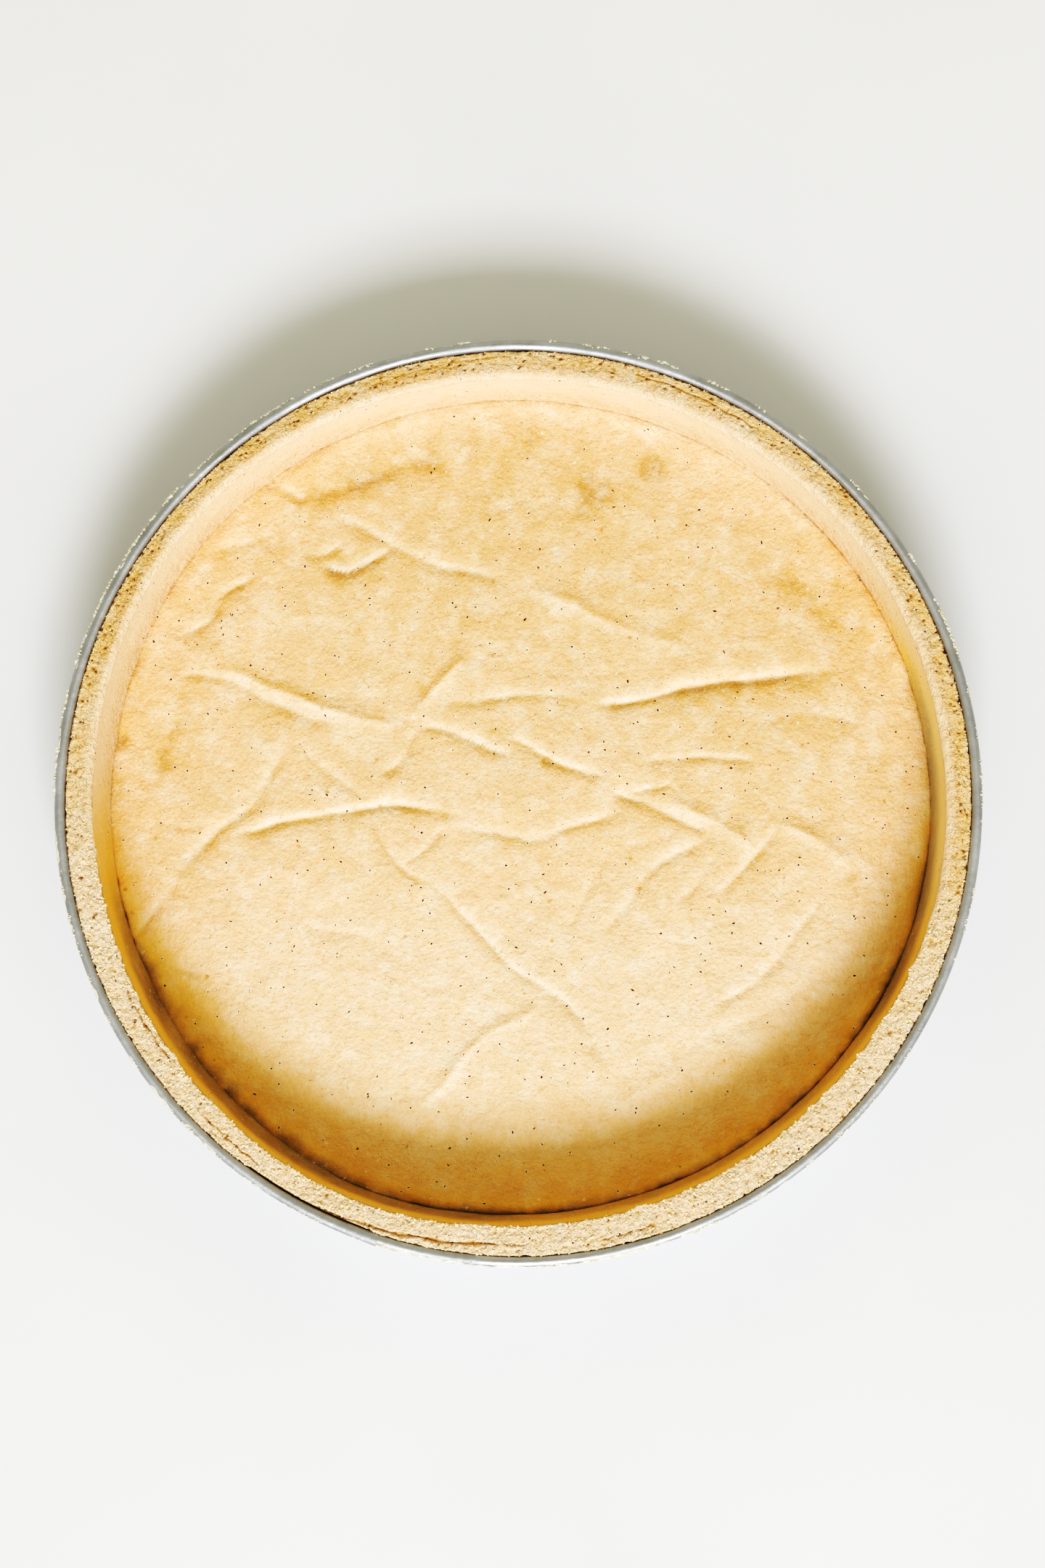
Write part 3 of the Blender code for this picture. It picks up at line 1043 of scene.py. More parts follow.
@dataclass(frozen=True)
class Split:
    """A layer of dough that has parted along the rim: bearings, then radii, half width and depth in mm."""

    start: float
    end: float
    radius_start: float
    radius_end: float
    width: float
    depth: float

    def opening(self, angle: np.ndarray, radius: np.ndarray) -> np.ndarray:
        """How open the split is: a steep-sided bell across a line that drifts and wavers along it.

        Args:
            angle: Angles in radians.
            radius: Distances from the axis.

        Returns:
            Shares from 0 to 1.
        """
        share = np.clip(angle_gap(angle, self.start) / math.radians(self.end - self.start), 0, 1)
        drift = (self.radius_end - self.radius_start) * share
        middle = self.radius_start + drift + 0.2 * np.sin(share * 19)
        width = self.width * (0.75 + 0.35 * np.sin(share * 31 + self.start))
        return np.exp(-(((radius / MM - middle) / width) ** 4)) * in_sector(angle, self.start, self.end, 1)


SPLITS = (
    Split(244.5, 267, 119.3, 116.9, 0.55, 0.9),
    Split(268.6, 270.4, 116.8, 117.1, 0.35, 0.6),
    Split(91, 109, 118.4, 117.2, 0.28, 0.15),
    Split(97, 104, 116.9, 116.4, 0.24, 0.15),
    Split(58, 74, 117.3, 117.8, 0.30, 0.5),
    Split(207, 217, 114.8, 114.5, 0.30, 0.6),
    Split(226, 234, 117.2, 117.6, 0.30, 0.6),
    Split(281, 288, 117.6, 117.2, 0.28, 0.5),
)


@dataclass
class PastryWall:
    """The upright band of dough, its inside smoothed by the paper and its top cut level with the tin."""

    sizes: CaseSizes
    steps: int = 1740
    lean: float = 0.3 * MM
    smooth_edge: float = 2.0 * MM
    torn_edge: float = 0.4 * MM
    unrolled_radius: float = 110 * MM
    rim_sink: float = 0.12 * MM
    rim_crest: float = 0.25 * MM
    seed: int = 31

    def torn(self, angle: np.ndarray) -> np.ndarray:
        """How torn the inner edge is: wholly on the near half, where the knife dragged, hardly behind."""
        return 0.04 + 0.96 * in_sector(angle, 192, 336, 18)

    def rounding(self, angle: np.ndarray) -> np.ndarray:
        """Radius of the inner edge: a thumb's smooth curve behind, nearly sharp where it is torn."""
        return self.smooth_edge - (self.smooth_edge - self.torn_edge) * self.torn(angle)

    def upward(self, height: np.ndarray) -> np.ndarray:
        """Share of the way from the floor of the case up to the rim."""
        return (height - self.sizes.floor_level) / (self.sizes.rim_level - self.sizes.floor_level)

    def recess(self, angle: np.ndarray) -> np.ndarray:
        """How far the cut edge stands back from the tin: a ragged line, and a long gap near the bead's lap.

        Args:
            angle: Angles in radians.

        Returns:
            Distances in metres.
        """
        ragged = ease(ring_noise(angle, self.sizes.pastry_outer, 2.6 * MM, self.seed + 41, 3), 0.2, 0.8)
        gap = in_sector(angle, 235.5, 249.5, 3)
        return MM * (0.02 + 0.4 * ragged + 0.75 * gap)

    def inner_face(self, angle: np.ndarray, height: np.ndarray) -> np.ndarray:
        """Radius of the inner face: the wall's wave, its lean, a thickened foot and slow hollows.

        Args:
            angle: Angles in radians.
            height: Height of each place.

        Returns:
            Radii in metres.
        """
        size = self.sizes
        hollow = 0.2 * MM * ring_noise(angle, size.pastry_inner, 16 * MM, self.seed, 3, height)
        foot = np.exp(-np.maximum(height - size.floor_level, 0) / (2.2 * MM))
        fillet = (0.7 + 0.8 * in_sector(angle, 207, 236, 12)) * MM * foot
        return size.inner_radius(angle) + self.lean * self.upward(height) - fillet + hollow

    def face_gold(self, angle: np.ndarray, height: np.ndarray) -> np.ndarray:
        """How golden the inner face is, partly painted shade: on the near half and the right, most low down,
        in drifts.

        Args:
            angle: Angles in radians.
            height: Height of each place.

        Returns:
            The share "butter" of each place.
        """
        drift = ring_noise(angle, self.sizes.pastry_inner, 9 * MM, self.seed + 51, 4, height)
        near = in_sector(angle, 200, 368, 30)
        right = in_sector(angle, -25, 12, 12)
        low = 1 - ease(self.upward(height), 0.25, 0.75)
        foot = 0.5 + 0.35 * in_sector(angle, 207, 262, 15) + 0.3 * right
        # Painted shade: the near half and the right golden, and brown low down at the foot, on top of the
        # drifts.
        return np.clip(near * (0.9 + foot * low + 0.2 * right) + (0.1 + 0.15 * near) * drift, 0, 2)

    def lip(self, angle: np.ndarray) -> np.ndarray:
        """How far torn dough hangs inwards over the wall: sharpened noise of three sizes where it is torn.

        Args:
            angle: Angles in radians.

        Returns:
            Distances in metres.
        """
        radius = self.sizes.pastry_inner
        broad = ease(ring_noise(angle, radius, 4.5 * MM, self.seed + 21), 0.0, 0.9)
        fringe = ease(ring_noise(angle, radius, 2.0 * MM, self.seed + 23), -0.2, 0.9)
        spiky = ease(ring_noise(angle, radius, 0.8 * MM, self.seed + 22), -0.1, 0.9)
        hang = 0.02 + 0.5 * broad + 0.25 * fringe + 0.45 * spiky * (0.3 + fringe)
        return self.torn(angle) ** 2 * MM * hang

    def rim_start(self, angle: np.ndarray) -> np.ndarray:
        """Radius at which the inner edge's curve ends and the cut rim begins."""
        face = self.inner_face(angle, self.sizes.rim_level - self.rounding(angle))
        return face - self.lip(angle) + self.rounding(angle)

    def cut_grain(self, flat: np.ndarray) -> tuple[np.ndarray, np.ndarray, np.ndarray, np.ndarray]:
        """The grain of the cut dough, read at places that fine noise pushes about.

        Clumps are domes, a height less the distance squared, round scattered seeds of two sizes. Pores and
        pits are round seeds of two more, each as wide as its seed's own random number says.

        Args:
            flat: Places on the cut, shape (n, 3).

        Returns:
            Height in mm of the clumps and of a slow swell, and the shares of deep pores and of small pits.
        """
        shift = np.stack([soft_noise(flat, 1.1 * MM, self.seed + k) for k in (2, 3, 4)], axis=1)
        bent = flat + 0.35 * MM * shift
        big, big_label = nearest_seed(bent, 1.5 * MM, self.seed + 1)
        small, small_label = nearest_seed(bent, 0.8 * MM, self.seed + 6)
        lumps = 0.34 * (0.45 - big**2) * (0.5 + big_label) + 0.30 * (0.4 - small**2) * (0.5 + small_label)
        broad = 0.20 * layered_noise(flat, 3.5 * MM, self.seed + 11, 3)
        distance, label = nearest_seed(bent + 0.3 * MM * shift[:, ::-1], 2.9 * MM, self.seed + 16)
        width = 0.06 + 0.17 * label**2
        pore = (1 - ease(distance, width * 0.5, width * 1.1)) * (label > 0.15)
        distance, label = nearest_seed(bent - 0.4 * MM * shift[:, ::-1], 1.7 * MM, self.seed + 26)
        width = 0.12 + 0.28 * label
        pit = (1 - ease(distance, width * 0.4, width)) * (label > 0.3)
        return lumps, broad, pore, pit

    def rim_surface(
        self, angle: np.ndarray, share: np.ndarray
    ) -> tuple[np.ndarray, np.ndarray, np.ndarray]:
        """The cut rim: rounded clumps of crumb, irregular pores, parted layers and a fall towards the tin.

        Args:
            angle: Bearing of each place.
            share: 0 where the rim begins to 1 at its outer edge, of the same shape.

        Returns:
            Radius, height and tan share of each place, where the tan in pores, splits and hollows is painted
            shade.
        """
        torn = self.torn(angle)
        inner = self.rim_start(angle)
        radius = inner + (self.sizes.tin_inner - self.recess(angle) - inner) * share
        far = 0.35 + 0.65 * (1 - torn) * ease(share, 0.05, 0.4)
        rough = np.clip(torn + ease(share, 0.0, 0.15), 0, 1)
        flat = np.stack([radius * np.cos(angle), radius * np.sin(angle), 0 * radius], axis=-1)
        grain = self.cut_grain(flat.reshape(-1, 3))
        lumps, broad, pore, pit = (part.reshape(angle.shape) for part in grain)
        pore = np.maximum(pore, pit * far)
        split = np.zeros_like(radius)
        depth = np.zeros_like(radius)
        for layer in SPLITS:
            opening = layer.opening(angle, radius)
            split = np.maximum(split, opening)
            depth += layer.depth * opening
        crown = -0.45 * share * (1 - torn) + 0.12 * torn * np.sin(math.pi * share)
        edge = 0.5 * ease(share, 0.93, 1.0)
        grain = rough * ((1 + 0.3 * torn) * lumps + broad - 0.85 * pore)
        relief = MM * (grain - depth - edge + crown) - self.rim_sink
        height = self.sizes.rim_level + np.minimum(relief, self.rim_crest)
        # Painted shade: tan in the pores, the parted layers and the low hollows between clumps.
        hollow = np.clip(-(lumps + broad) / 0.22, 0, 1)
        rich = 0.42 * in_sector(angle, -24, 26, 14) + 0.55 * in_sector(angle, 106, 160, 14)
        rich = (rich + 0.32 * (1 - torn)) * (0.8 - 0.3 * ease(share, 0.5, 0.9))
        stain_and_shade = (0.8 + 0.7 * torn) * pore * rough + 1.1 * split + (0.6 + 0.3 * torn) * hollow * rough + rich
        return radius, height, np.clip(stain_and_shade, 0, 2)

    def face_part(self, share: np.ndarray, angle: np.ndarray) -> tuple[np.ndarray, ...]:
        """The inner face, from just under the floor's surface up to the inner edge.

        Args:
            share: 0 at the floor to 1 at the inner edge.
            angle: Angles in radians, of the same shape.

        Returns:
            Radius, height, "honey", "butter", "pale" and "smooth" of each place.
        """
        far = 1 - self.torn(angle)
        top = self.sizes.rim_level - self.rounding(angle)
        height = self.sizes.floor_level + (top - self.sizes.floor_level) * share
        hang = self.lip(angle) * ease(share, 0.82, 1.0) ** 2
        high = ease(share, 0.0, 0.75)
        unrolled = np.stack([angle * self.unrolled_radius, height, 0 * share], axis=-1)
        patchy = layered_noise(unrolled.reshape(-1, 3), 6 * MM, 97, 3).reshape(share.shape)
        stained = np.clip(0.12 - 0.12 * high + 0.25 * patchy, 0, 1) * far
        rubbed = 0.35 + 0.65 * high
        radius = self.inner_face(angle, height) - hang
        # Painted light: the far half of the face, which faces the lamp, is paler, most high up.
        return radius, height, stained, self.face_gold(angle, height), 0.55 * far * rubbed, rubbed

    def edge_part(self, share: np.ndarray, angle: np.ndarray) -> tuple[np.ndarray, ...]:
        """The inner edge, a quarter turn from the inner face over to the cut rim.

        Args:
            share: 0 at the face to 1 at the rim.
            angle: Angles in radians, of the same shape.

        Returns:
            Radius, height, "honey", "butter", "pale" and "smooth" of each place.
        """
        far = 1 - self.torn(angle)
        bend = share * math.pi / 2
        rounding = self.rounding(angle)
        radius = self.rim_start(angle) - rounding * np.cos(bend)
        height = self.sizes.rim_level - self.rim_sink - rounding * (1 - np.sin(bend))
        # Painted highlight: on the far half the edge is paler where it turns up from the face; elsewhere the
        # flour is the dough's own.
        dry = 1 - 0.75 * share
        paleness = 0.35 + 0.3 * far * dry - 0.3 * far * share
        return radius, height, 0.25 * share * far, 0 * bend, paleness, far * dry

    def rim_part(self, share: np.ndarray, angle: np.ndarray) -> tuple[np.ndarray, ...]:
        """The cut rim, with a thumbed inner side on the far half and flour caught in the torn near half.

        Args:
            share: 0 where the rim begins to 1 at its outer edge.
            angle: Angles in radians, of the same shape.

        Returns:
            Radius, height, "honey", "butter", "pale" and "smooth" of each place.
        """
        torn = self.torn(angle)
        radius, height, stained = self.rim_surface(angle, share)
        thumbed = 0.25 * (1 - torn) * (1 - ease(share, 0.0, 0.3))
        golden = 0.2 * (1 - torn) * ease(share, 0.15, 0.6)
        paleness = (0.36 * torn + 0.5 * thumbed) * (stained < 0.6)
        return radius, height, stained, golden, paleness, thumbed

    def side_part(self, drop: np.ndarray, angle: np.ndarray) -> tuple[np.ndarray, ...]:
        """The outside, which stands back from the tin at the cut and lies against it lower down.

        Args:
            drop: Distance below the rim.
            angle: Angles in radians, of the same shape.

        Returns:
            Radius, height, "honey", "butter", "pale" and "smooth" of each place.
        """
        behind = self.recess(angle) * np.exp(-drop / (1.2 * MM))
        close = 0.25 * MM * np.exp(-drop / (4 * MM))
        radius = self.sizes.pastry_outer + close - behind
        plain = 0 * drop
        return radius, self.sizes.rim_level - drop, plain + 0.5, plain, plain, plain

    def foot_part(self, bend: np.ndarray, angle: np.ndarray) -> tuple[np.ndarray, ...]:
        """The foot, which follows the tin's round corner.

        Args:
            bend: 0 on the outside to a quarter turn underneath, in radians.
            angle: Angles in radians, of the same shape.

        Returns:
            Radius, height, "honey", "butter", "pale" and "smooth" of each place.
        """
        radius = self.sizes.pastry_outer - self.sizes.tin_corner * (1 - np.cos(bend))
        height = self.sizes.pastry_bottom + self.sizes.tin_corner * (1 - np.sin(bend))
        plain = 0 * angle
        return radius, height, plain, plain, plain, plain

    def rows(self) -> tuple[np.ndarray, dict[str, np.ndarray]]:
        """The section of the wall at every step round it, from its foot up the inside and over to the tin.

        Returns:
            Points, shape (section rows, steps, 3), and the shares "honey", "butter", "pale", "smooth".
        """
        turn = np.arange(self.steps) * TURN / self.steps
        parts = (
            (self.face_part, np.concatenate([[-0.25], np.linspace(-0.03, 1, 13)])),
            (self.edge_part, np.linspace(0.1, 0.97, 7)),
            (self.rim_part, np.linspace(0.03, 1, 24)),
            (self.side_part, np.array([1.2, 3.5, 9, 20]) * MM),
            (self.foot_part, np.array([0, 0.5, 1]) * math.pi / 2),
        )
        grids = [part(*np.meshgrid(along, turn, indexing="ij")) for part, along in parts]
        r, z, *tones = (np.vstack(same) for same in zip(*grids))
        points = np.stack([r * np.cos(turn), r * np.sin(turn), z], axis=-1)
        return points, dict(zip(("stain_and_shade", "butter_and_shade", "pale", "smooth"), tones))

    def build(self) -> bpy.types.Object:
        """The closed band.

        Returns:
            The wall, with its tones as attributes.
        """
        points, tones = self.rows()
        wall = round_piece("pastry_wall", points[::-1])
        for name, values in tones.items():
            set_attribute(wall, name, values[::-1].ravel())
        return wall


# The tin ------------------------------------------------------------------------------------------


@dataclass
class Tin:
    """The straight-sided tin with its wired bead, whose ends lap at one bearing."""

    sizes: CaseSizes
    steps: int = 900
    lap_bearing: float = 252.5
    lap_rise: float = 0.42 * MM
    lap_fade: float = 7.0
    wobble: float = 0.10 * MM
    pole: float = 2 * MM
    seed: int = 51

    def angles(self) -> np.ndarray:
        """Angles of the steps: even ones, and a few close together where the bead laps.

        Returns:
            Angles in radians, in order.
        """
        even = np.arange(self.steps) * TURN / self.steps
        lap = math.radians(self.lap_bearing)
        close = lap + np.radians([-0.16, -0.08, -0.04, -0.012, 0.012, 0.04, 0.08, 0.16])
        far = np.abs(angle_gap(even, self.lap_bearing)) > math.radians(0.2)
        return np.sort(np.concatenate([even[far], close]))

    def section(self) -> np.ndarray:
        """The tin's section, in order round it from the floor's middle.

        Arcs round the corner and the bead join straight runs, and each run has enough points to shade well.

        Returns:
            Radius, height and share of the bead (1 on it, 0 off it) of each point, shape (n, 3).
        """
        size = self.sizes
        outer = size.tin_inner + size.sheet
        bead = np.array([size.tin_inner + size.bead_radius, size.tin_height - size.bead_radius])
        corner = np.array([outer - size.tin_corner, size.tin_corner])
        meets = math.degrees(math.acos((outer - bead[0]) / size.bead_radius))

        def arc(centre: np.ndarray, radius: float, start: float, end: float, count: int) -> np.ndarray:
            """Points of an arc between two angles in degrees: its centre + radius times (cos, sin)."""
            turn = np.radians(np.linspace(start, end, count))
            return centre + radius * np.stack([np.cos(turn), np.sin(turn)], axis=1)

        def run(start: np.ndarray, end: np.ndarray, count: int) -> np.ndarray:
            """Points between two ends of a straight run, both left out."""
            share = np.linspace(0, 1, count + 2)[1:-1, None]
            return start * (1 - share) + end * share

        inner_corner = arc(corner, size.tin_corner - size.sheet, -90, 0, 7)
        over_bead = arc(bead, size.bead_radius, 180, -meets, 30)
        outer_corner = arc(corner, size.tin_corner, 0, -90, 9)
        parts = [
            run(np.array([self.pole, size.sheet]), inner_corner[0], 14),
            inner_corner,
            run(inner_corner[-1], over_bead[0], 5),
            over_bead,
            run(over_bead[-1], outer_corner[0], 12),
            outer_corner,
            run(outer_corner[-1], np.array([self.pole, 0.0]), 14),
        ]
        shares = [np.full(len(part), 1.0 if part is over_bead else 0.0) for part in parts]
        return np.column_stack([np.vstack(parts), np.concatenate(shares)])

    def build(self) -> bpy.types.Object:
        """The closed shell, its section carried round the axis and pushed about a little, with a UV map.

        At the lap one end of the bead stands proud of the other, by a rise that fades along it as
        exp(-degrees / lap_fade).

        Returns:
            The tin.
        """
        angle = self.angles()
        section = self.section()
        radius, height, bead = (section[:, k][:, None] for k in range(3))
        gap = np.degrees(angle_gap(angle, self.lap_bearing))
        proud = np.where(gap <= 0, np.exp(gap / self.lap_fade), 0) * self.lap_rise
        wobble = self.wobble * ring_noise(angle, self.sizes.bead_outer, 22 * MM, self.seed, 2)
        high = np.clip(height / self.sizes.tin_height, 0, 1)
        outward = np.where(radius > self.sizes.tin_inner + 0.5 * self.sizes.sheet, 1.0, 0.0)
        # Unit vector from the bead's own axis, so that the proud end is thicker as well as farther out.
        side = (radius - self.sizes.tin_inner - self.sizes.bead_radius) / self.sizes.bead_radius
        upward = (height - self.sizes.tin_height + self.sizes.bead_radius) / self.sizes.bead_radius
        swell = 0.5 * bead * proud * (side + outward)
        seam = outward * (1 - bead) * high * proud * 0.6
        r = radius + swell + seam + wobble * high * outward
        z = height + 0.25 * bead * proud * upward
        points = np.stack([r * np.cos(angle), r * np.sin(angle), z + 0 * angle], axis=-1)
        count, steps = points.shape[:2]
        index = np.arange(count * steps).reshape(count, steps)
        nxt = np.roll(index, -1, axis=1)
        quads = np.stack([index[:-1], nxt[:-1], nxt[1:], index[1:]], axis=-1).reshape(-1, 4)
        top, base = count * steps, count * steps + 1
        inside = np.stack([index[0], nxt[0], np.full(steps, top)], axis=-1)
        underside = np.stack([nxt[-1], index[-1], np.full(steps, base)], axis=-1)
        fans = np.vstack([inside, underside])
        vertices = np.vstack([points.reshape(-1, 3), [[0, 0, self.sizes.sheet], [0, 0, 0]]])
        tin = mesh_piece("tin_shell", vertices, quads, fans)
        self.unwrap(tin, vertices, section)
        return tin

    def unwrap(self, tin: bpy.types.Object, vertices: np.ndarray, section: np.ndarray) -> None:
        """Gives the tin a UV map: U is the share of a turn and V the length along the section in metres.

        Args:
            tin: The tin.
            vertices: Its vertices, the section's rings in order and then the two poles.
            section: The section that it was made from.
        """
        lengths = np.concatenate([[0], np.cumsum(np.linalg.norm(np.diff(section[:, :2], axis=0), axis=1))])
        along = np.append(np.repeat(lengths, (len(vertices) - 2) // len(section)), [0, lengths[-1]])
        turn = np.arctan2(vertices[:, 1], vertices[:, 0]) / TURN
        loops = np.zeros(len(tin.data.loops), np.int32)
        tin.data.loops.foreach_get("vertex_index", loops)
        u = turn[loops]
        # A face that crosses the half-turn line keeps its corners together.
        starts = np.zeros(len(tin.data.polygons), np.int32)
        tin.data.polygons.foreach_get("loop_start", starts)
        base = np.repeat(u[starts], np.diff(np.append(starts, len(loops))))
        u = np.where(u - base > 0.5, u - 1, np.where(u - base < -0.5, u + 1, u))
        layer = tin.data.uv_layers.new(name="round_and_along")
        layer.data.foreach_set("uv", np.stack([u, along[loops]], axis=1).astype(np.float32).ravel())


# Grains -------------------------------------------------------------------------------------------


def grain_form() -> tuple[np.ndarray, np.ndarray]:
    """A regular icosahedron, the form that every grain is bent from.

    Its corners are (+-1, +-golden ratio, 0) and the two turns of that, brought to unit length, and its
    faces join every three corners that are one side apart.

    Returns:
        Corners, shape (12, 3), and faces that point outwards, shape (20, 3).
    """
    golden = (1 + math.sqrt(5)) / 2
    corners = [(x, y * golden) for x in (-1, 1) for y in (-1, 1)]
    turns = [[(x, y, 0), (0, x, y), (y, 0, x)] for x, y in corners]
    points = np.array(turns).transpose(1, 0, 2).reshape(-1, 3)
    points /= np.linalg.norm(points[0])
    gaps = np.linalg.norm(points[:, None] - points[None], axis=-1)
    near = gaps < gaps[gaps > 0.1].min() * 1.01
    trios = combinations(range(len(points)), 3)
    faces = np.array([trio for trio in trios if all(near[pair] for pair in combinations(trio, 2))])
    a, b, c = (points[faces[:, n]] for n in range(3))
    inward = (np.cross(b - a, c - a) * a).sum(1) < 0
    faces[inward] = faces[inward][:, ::-1]
    return points, faces


def scatter_grains(
    name: str,
    centres: np.ndarray,
    radii: np.ndarray,
    stretch: tuple[float, float, float],
    lean: float,
    seed: int,
) -> bpy.types.Object:
    """One mesh of many small bent grains.

    Args:
        name: The piece's name.
        centres: Where each grain's middle is, shape (n, 3).
        radii: Each grain's mean radius, shape (n,).
        stretch: The mean proportions of a grain.
        lean: 0 keeps a grain's third axis upright, 1 turns it any way.
        seed: Picks the bends and turns.

    Returns:
        The new object.
    """
    rng = np.random.default_rng(seed)
    form, faces = grain_form()
    count = len(centres)
    scale = np.array(stretch) * rng.uniform(0.7, 1.35, (count, 3)) * radii[:, None]
    bent = form[None] * rng.uniform(0.72, 1.28, (count, len(form), 1)) * scale[:, None]
    heading, tip, roll = rng.uniform(0, TURN, count), rng.normal(0, lean, count), rng.normal(0, lean, count)
    turned = spin(spin(spin(bent, roll, 0, 1), tip, 1, 2), heading, 0, 1)
    points = (turned + centres[:, None]).reshape(-1, 3)
    index = (faces[None] + (np.arange(count) * len(form))[:, None, None]).reshape(-1, 3)
    grains = mesh_piece(name, points, index)
    grains.data.shade_flat()
    return grains


def spin(points: np.ndarray, angle: np.ndarray, first: int, second: int) -> np.ndarray:
    """Turns each group of points by its own angle in the plane of two axes.

    Args:
        points: Groups of points, shape (groups, points, 3).
        angle: One angle in radians for each group.
        first: Number of the axis that it turns from.
        second: Number of the axis that it turns towards.

    Returns:
        The turned points.
    """
    cos, sin = np.cos(angle)[:, None], np.sin(angle)[:, None]
    turned = points.copy()
    turned[..., first] = points[..., first] * cos - points[..., second] * sin
    turned[..., second] = points[..., first] * sin + points[..., second] * cos
    return turned


# Runs of crumbs on the bead: start, end, how many a degree, grain radius in mm, height (0 side, 1 top).
CRUMB_RUNS = (
    (62, 66, 7, 0.24, 0.5), (70, 77, 8, 0.24, 0.45), (78, 88, 3, 0.2, 0.4), (96, 101, 6, 0.2, 0.35),
    (108, 117, 9, 0.22, 0.3), (118, 131, 10, 0.23, 0.25), (131, 146, 11, 0.24, 0.25),
    (146, 160, 10, 0.24, 0.28), (160, 172, 8, 0.24, 0.3), (174, 180, 8, 0.24, 0.35),
    (182, 200, 3, 0.18, 0.6), (200, 236, 3, 0.14, 0.6), (236, 252, 4, 0.15, 0.5),
    (253, 282, 7, 0.15, 0.4), (283, 300, 4, 0.14, 0.5), (300, 330, 3, 0.14, 0.6),
    (330, 380, 2, 0.18, 0.5), (18, 25, 7, 0.3, 0.45), (26, 60, 1.2, 0.2, 0.5),
)


@dataclass
class Crumbs:
    """Loose dough from trimming the rim: grains and smears on the tin's bead, and crumbs on the cut."""

    sizes: CaseSizes
    wall: PastryWall
    rim_count: int = 11000
    smear_steps: int = 2200
    smear_rows: int = 15
    seed: int = 71

    def on_bead(self) -> bpy.types.Object:
        """Crumbs stuck to the outer shoulder of the bead, in runs with bare steel between them.

        Returns:
            The crumbs.
        """
        rng = np.random.default_rng(self.seed)
        bearing, radius, lift = [], [], []
        for start, end, density, grain, height in CRUMB_RUNS:
            count = int((end - start) * density)
            clump = rng.uniform(start, end, max(2, count // 6))
            at = rng.choice(clump, count) + rng.normal(0, 0.42, count)
            bearing.append(np.radians(at))
            radius.append(np.abs(rng.normal(grain, grain * 0.4, count)) + 0.06)
            lift.append(rng.normal(height - 0.12, 0.13, count))
        bearing, radius, lift = (np.concatenate(part) for part in (bearing, radius, lift))
        radius = radius * MM
        turn = np.clip(lift, -0.15, 0.95) * math.pi / 2
        centres = self.bead_points(bearing, turn, self.sizes.bead_radius + radius * 0.3)
        return scatter_grains("bead_crumbs", centres, radius, (1.15, 0.95, 0.8), 0.5, self.seed)

    def smear_on_bead(self) -> bpy.types.Object:
        """Dough rubbed thin on the outer shoulder of the bead, mostly on the near side.

        A skin is carried round the bead over the upper part of its outer side. Noise lifts it clear of the
        steel in ragged patches and sinks it out of sight everywhere else.

        Returns:
            The smears.
        """
        around = np.arange(self.smear_steps) * TURN / self.smear_steps
        angle, turn = np.meshgrid(around, np.radians(np.linspace(-14, 82, self.smear_rows)))
        r = self.sizes.tin_inner + self.sizes.bead_radius * (1 + np.cos(turn))
        ring = np.stack([r * np.cos(angle), r * np.sin(angle), 3.0 * MM * turn], axis=-1).reshape(-1, 3)
        patches = layered_noise(ring, 3.2 * MM, self.seed + 5, 4).reshape(angle.shape)
        amount = -0.42 + 0.36 * in_sector(angle, 186, 300, 22) + 0.22 * in_sector(angle, 253, 292, 6)
        amount += 0.18 * in_sector(angle, 112, 172, 12)
        low = 1 - ease(np.abs(turn - math.radians(24)), 0.25, 0.8)
        lift = np.clip((patches + amount) * 0.9, -0.25, 0.14) - 0.16 * (1 - low)
        grain, _ = nearest_seed(ring, 0.5 * MM, self.seed + 9)
        lift += 0.05 * (0.5 - grain.reshape(angle.shape))
        skin = self.sizes.bead_radius + MM * lift
        inside = self.sizes.bead_radius * 0.55
        rows_out = self.bead_points(angle, turn, skin)
        rows_back = self.bead_points(angle, turn, np.full_like(skin, inside))[::-1]
        return round_piece("bead_smears", np.concatenate([rows_out, rows_back])[::-1])

    def bead_points(self, angle: np.ndarray, turn: np.ndarray, out: np.ndarray) -> np.ndarray:
        """Points round the bead.

        Args:
            angle: Angles round the tin in radians.
            turn: Angles round the bead in radians, from its outer side up.
            out: Distances from the bead's own axis.

        Returns:
            Places, with a last axis of 3.
        """
        across = self.sizes.tin_inner + self.sizes.bead_radius + out * np.cos(turn)
        up = self.sizes.tin_height - self.sizes.bead_radius + out * np.sin(turn)
        return np.stack([across * np.cos(angle), across * np.sin(angle), up], axis=-1)

    def on_rim(self) -> bpy.types.Object:
        """Crumbs of the cut dough: along the torn inner edge, over the cut and heaped against the tin.

        Returns:
            The crumbs.
        """
        rng = np.random.default_rng(self.seed + 1)
        count = self.rim_count
        kind = rng.random(count)
        angle = rng.uniform(0, TURN, count)
        torn = self.wall.torn(angle)
        keep = (rng.random(count) < 0.3 + 0.7 * torn) | (kind > 0.5)
        angle, kind, torn = angle[keep], kind[keep], torn[keep]
        at_edge, across_cut = rng.normal(0.0, 0.03, len(angle)), rng.uniform(0.02, 0.98, len(angle))
        at_tin = 1 - np.abs(rng.normal(0, 0.09, len(angle)))
        share = np.where(kind > 0.78, at_tin, np.where(kind < 0.22, at_edge, across_cut))
        across, up, gold = self.wall.rim_surface(angle, np.clip(share, 0, 1))
        across += np.minimum(share, 0) * 7 * MM
        radius = (0.09 + 0.25 * rng.random(len(angle)) ** 2.5) * MM * (0.75 + 0.4 * torn)
        clear = gold < 0.75
        centres = np.stack([across * np.cos(angle), across * np.sin(angle), up + radius * 0.1], axis=1)
        centres, radius = centres[clear], radius[clear]
        return scatter_grains("rim_crumbs", centres, radius, (1.1, 1.0, 0.8), 0.9, self.seed + 2)


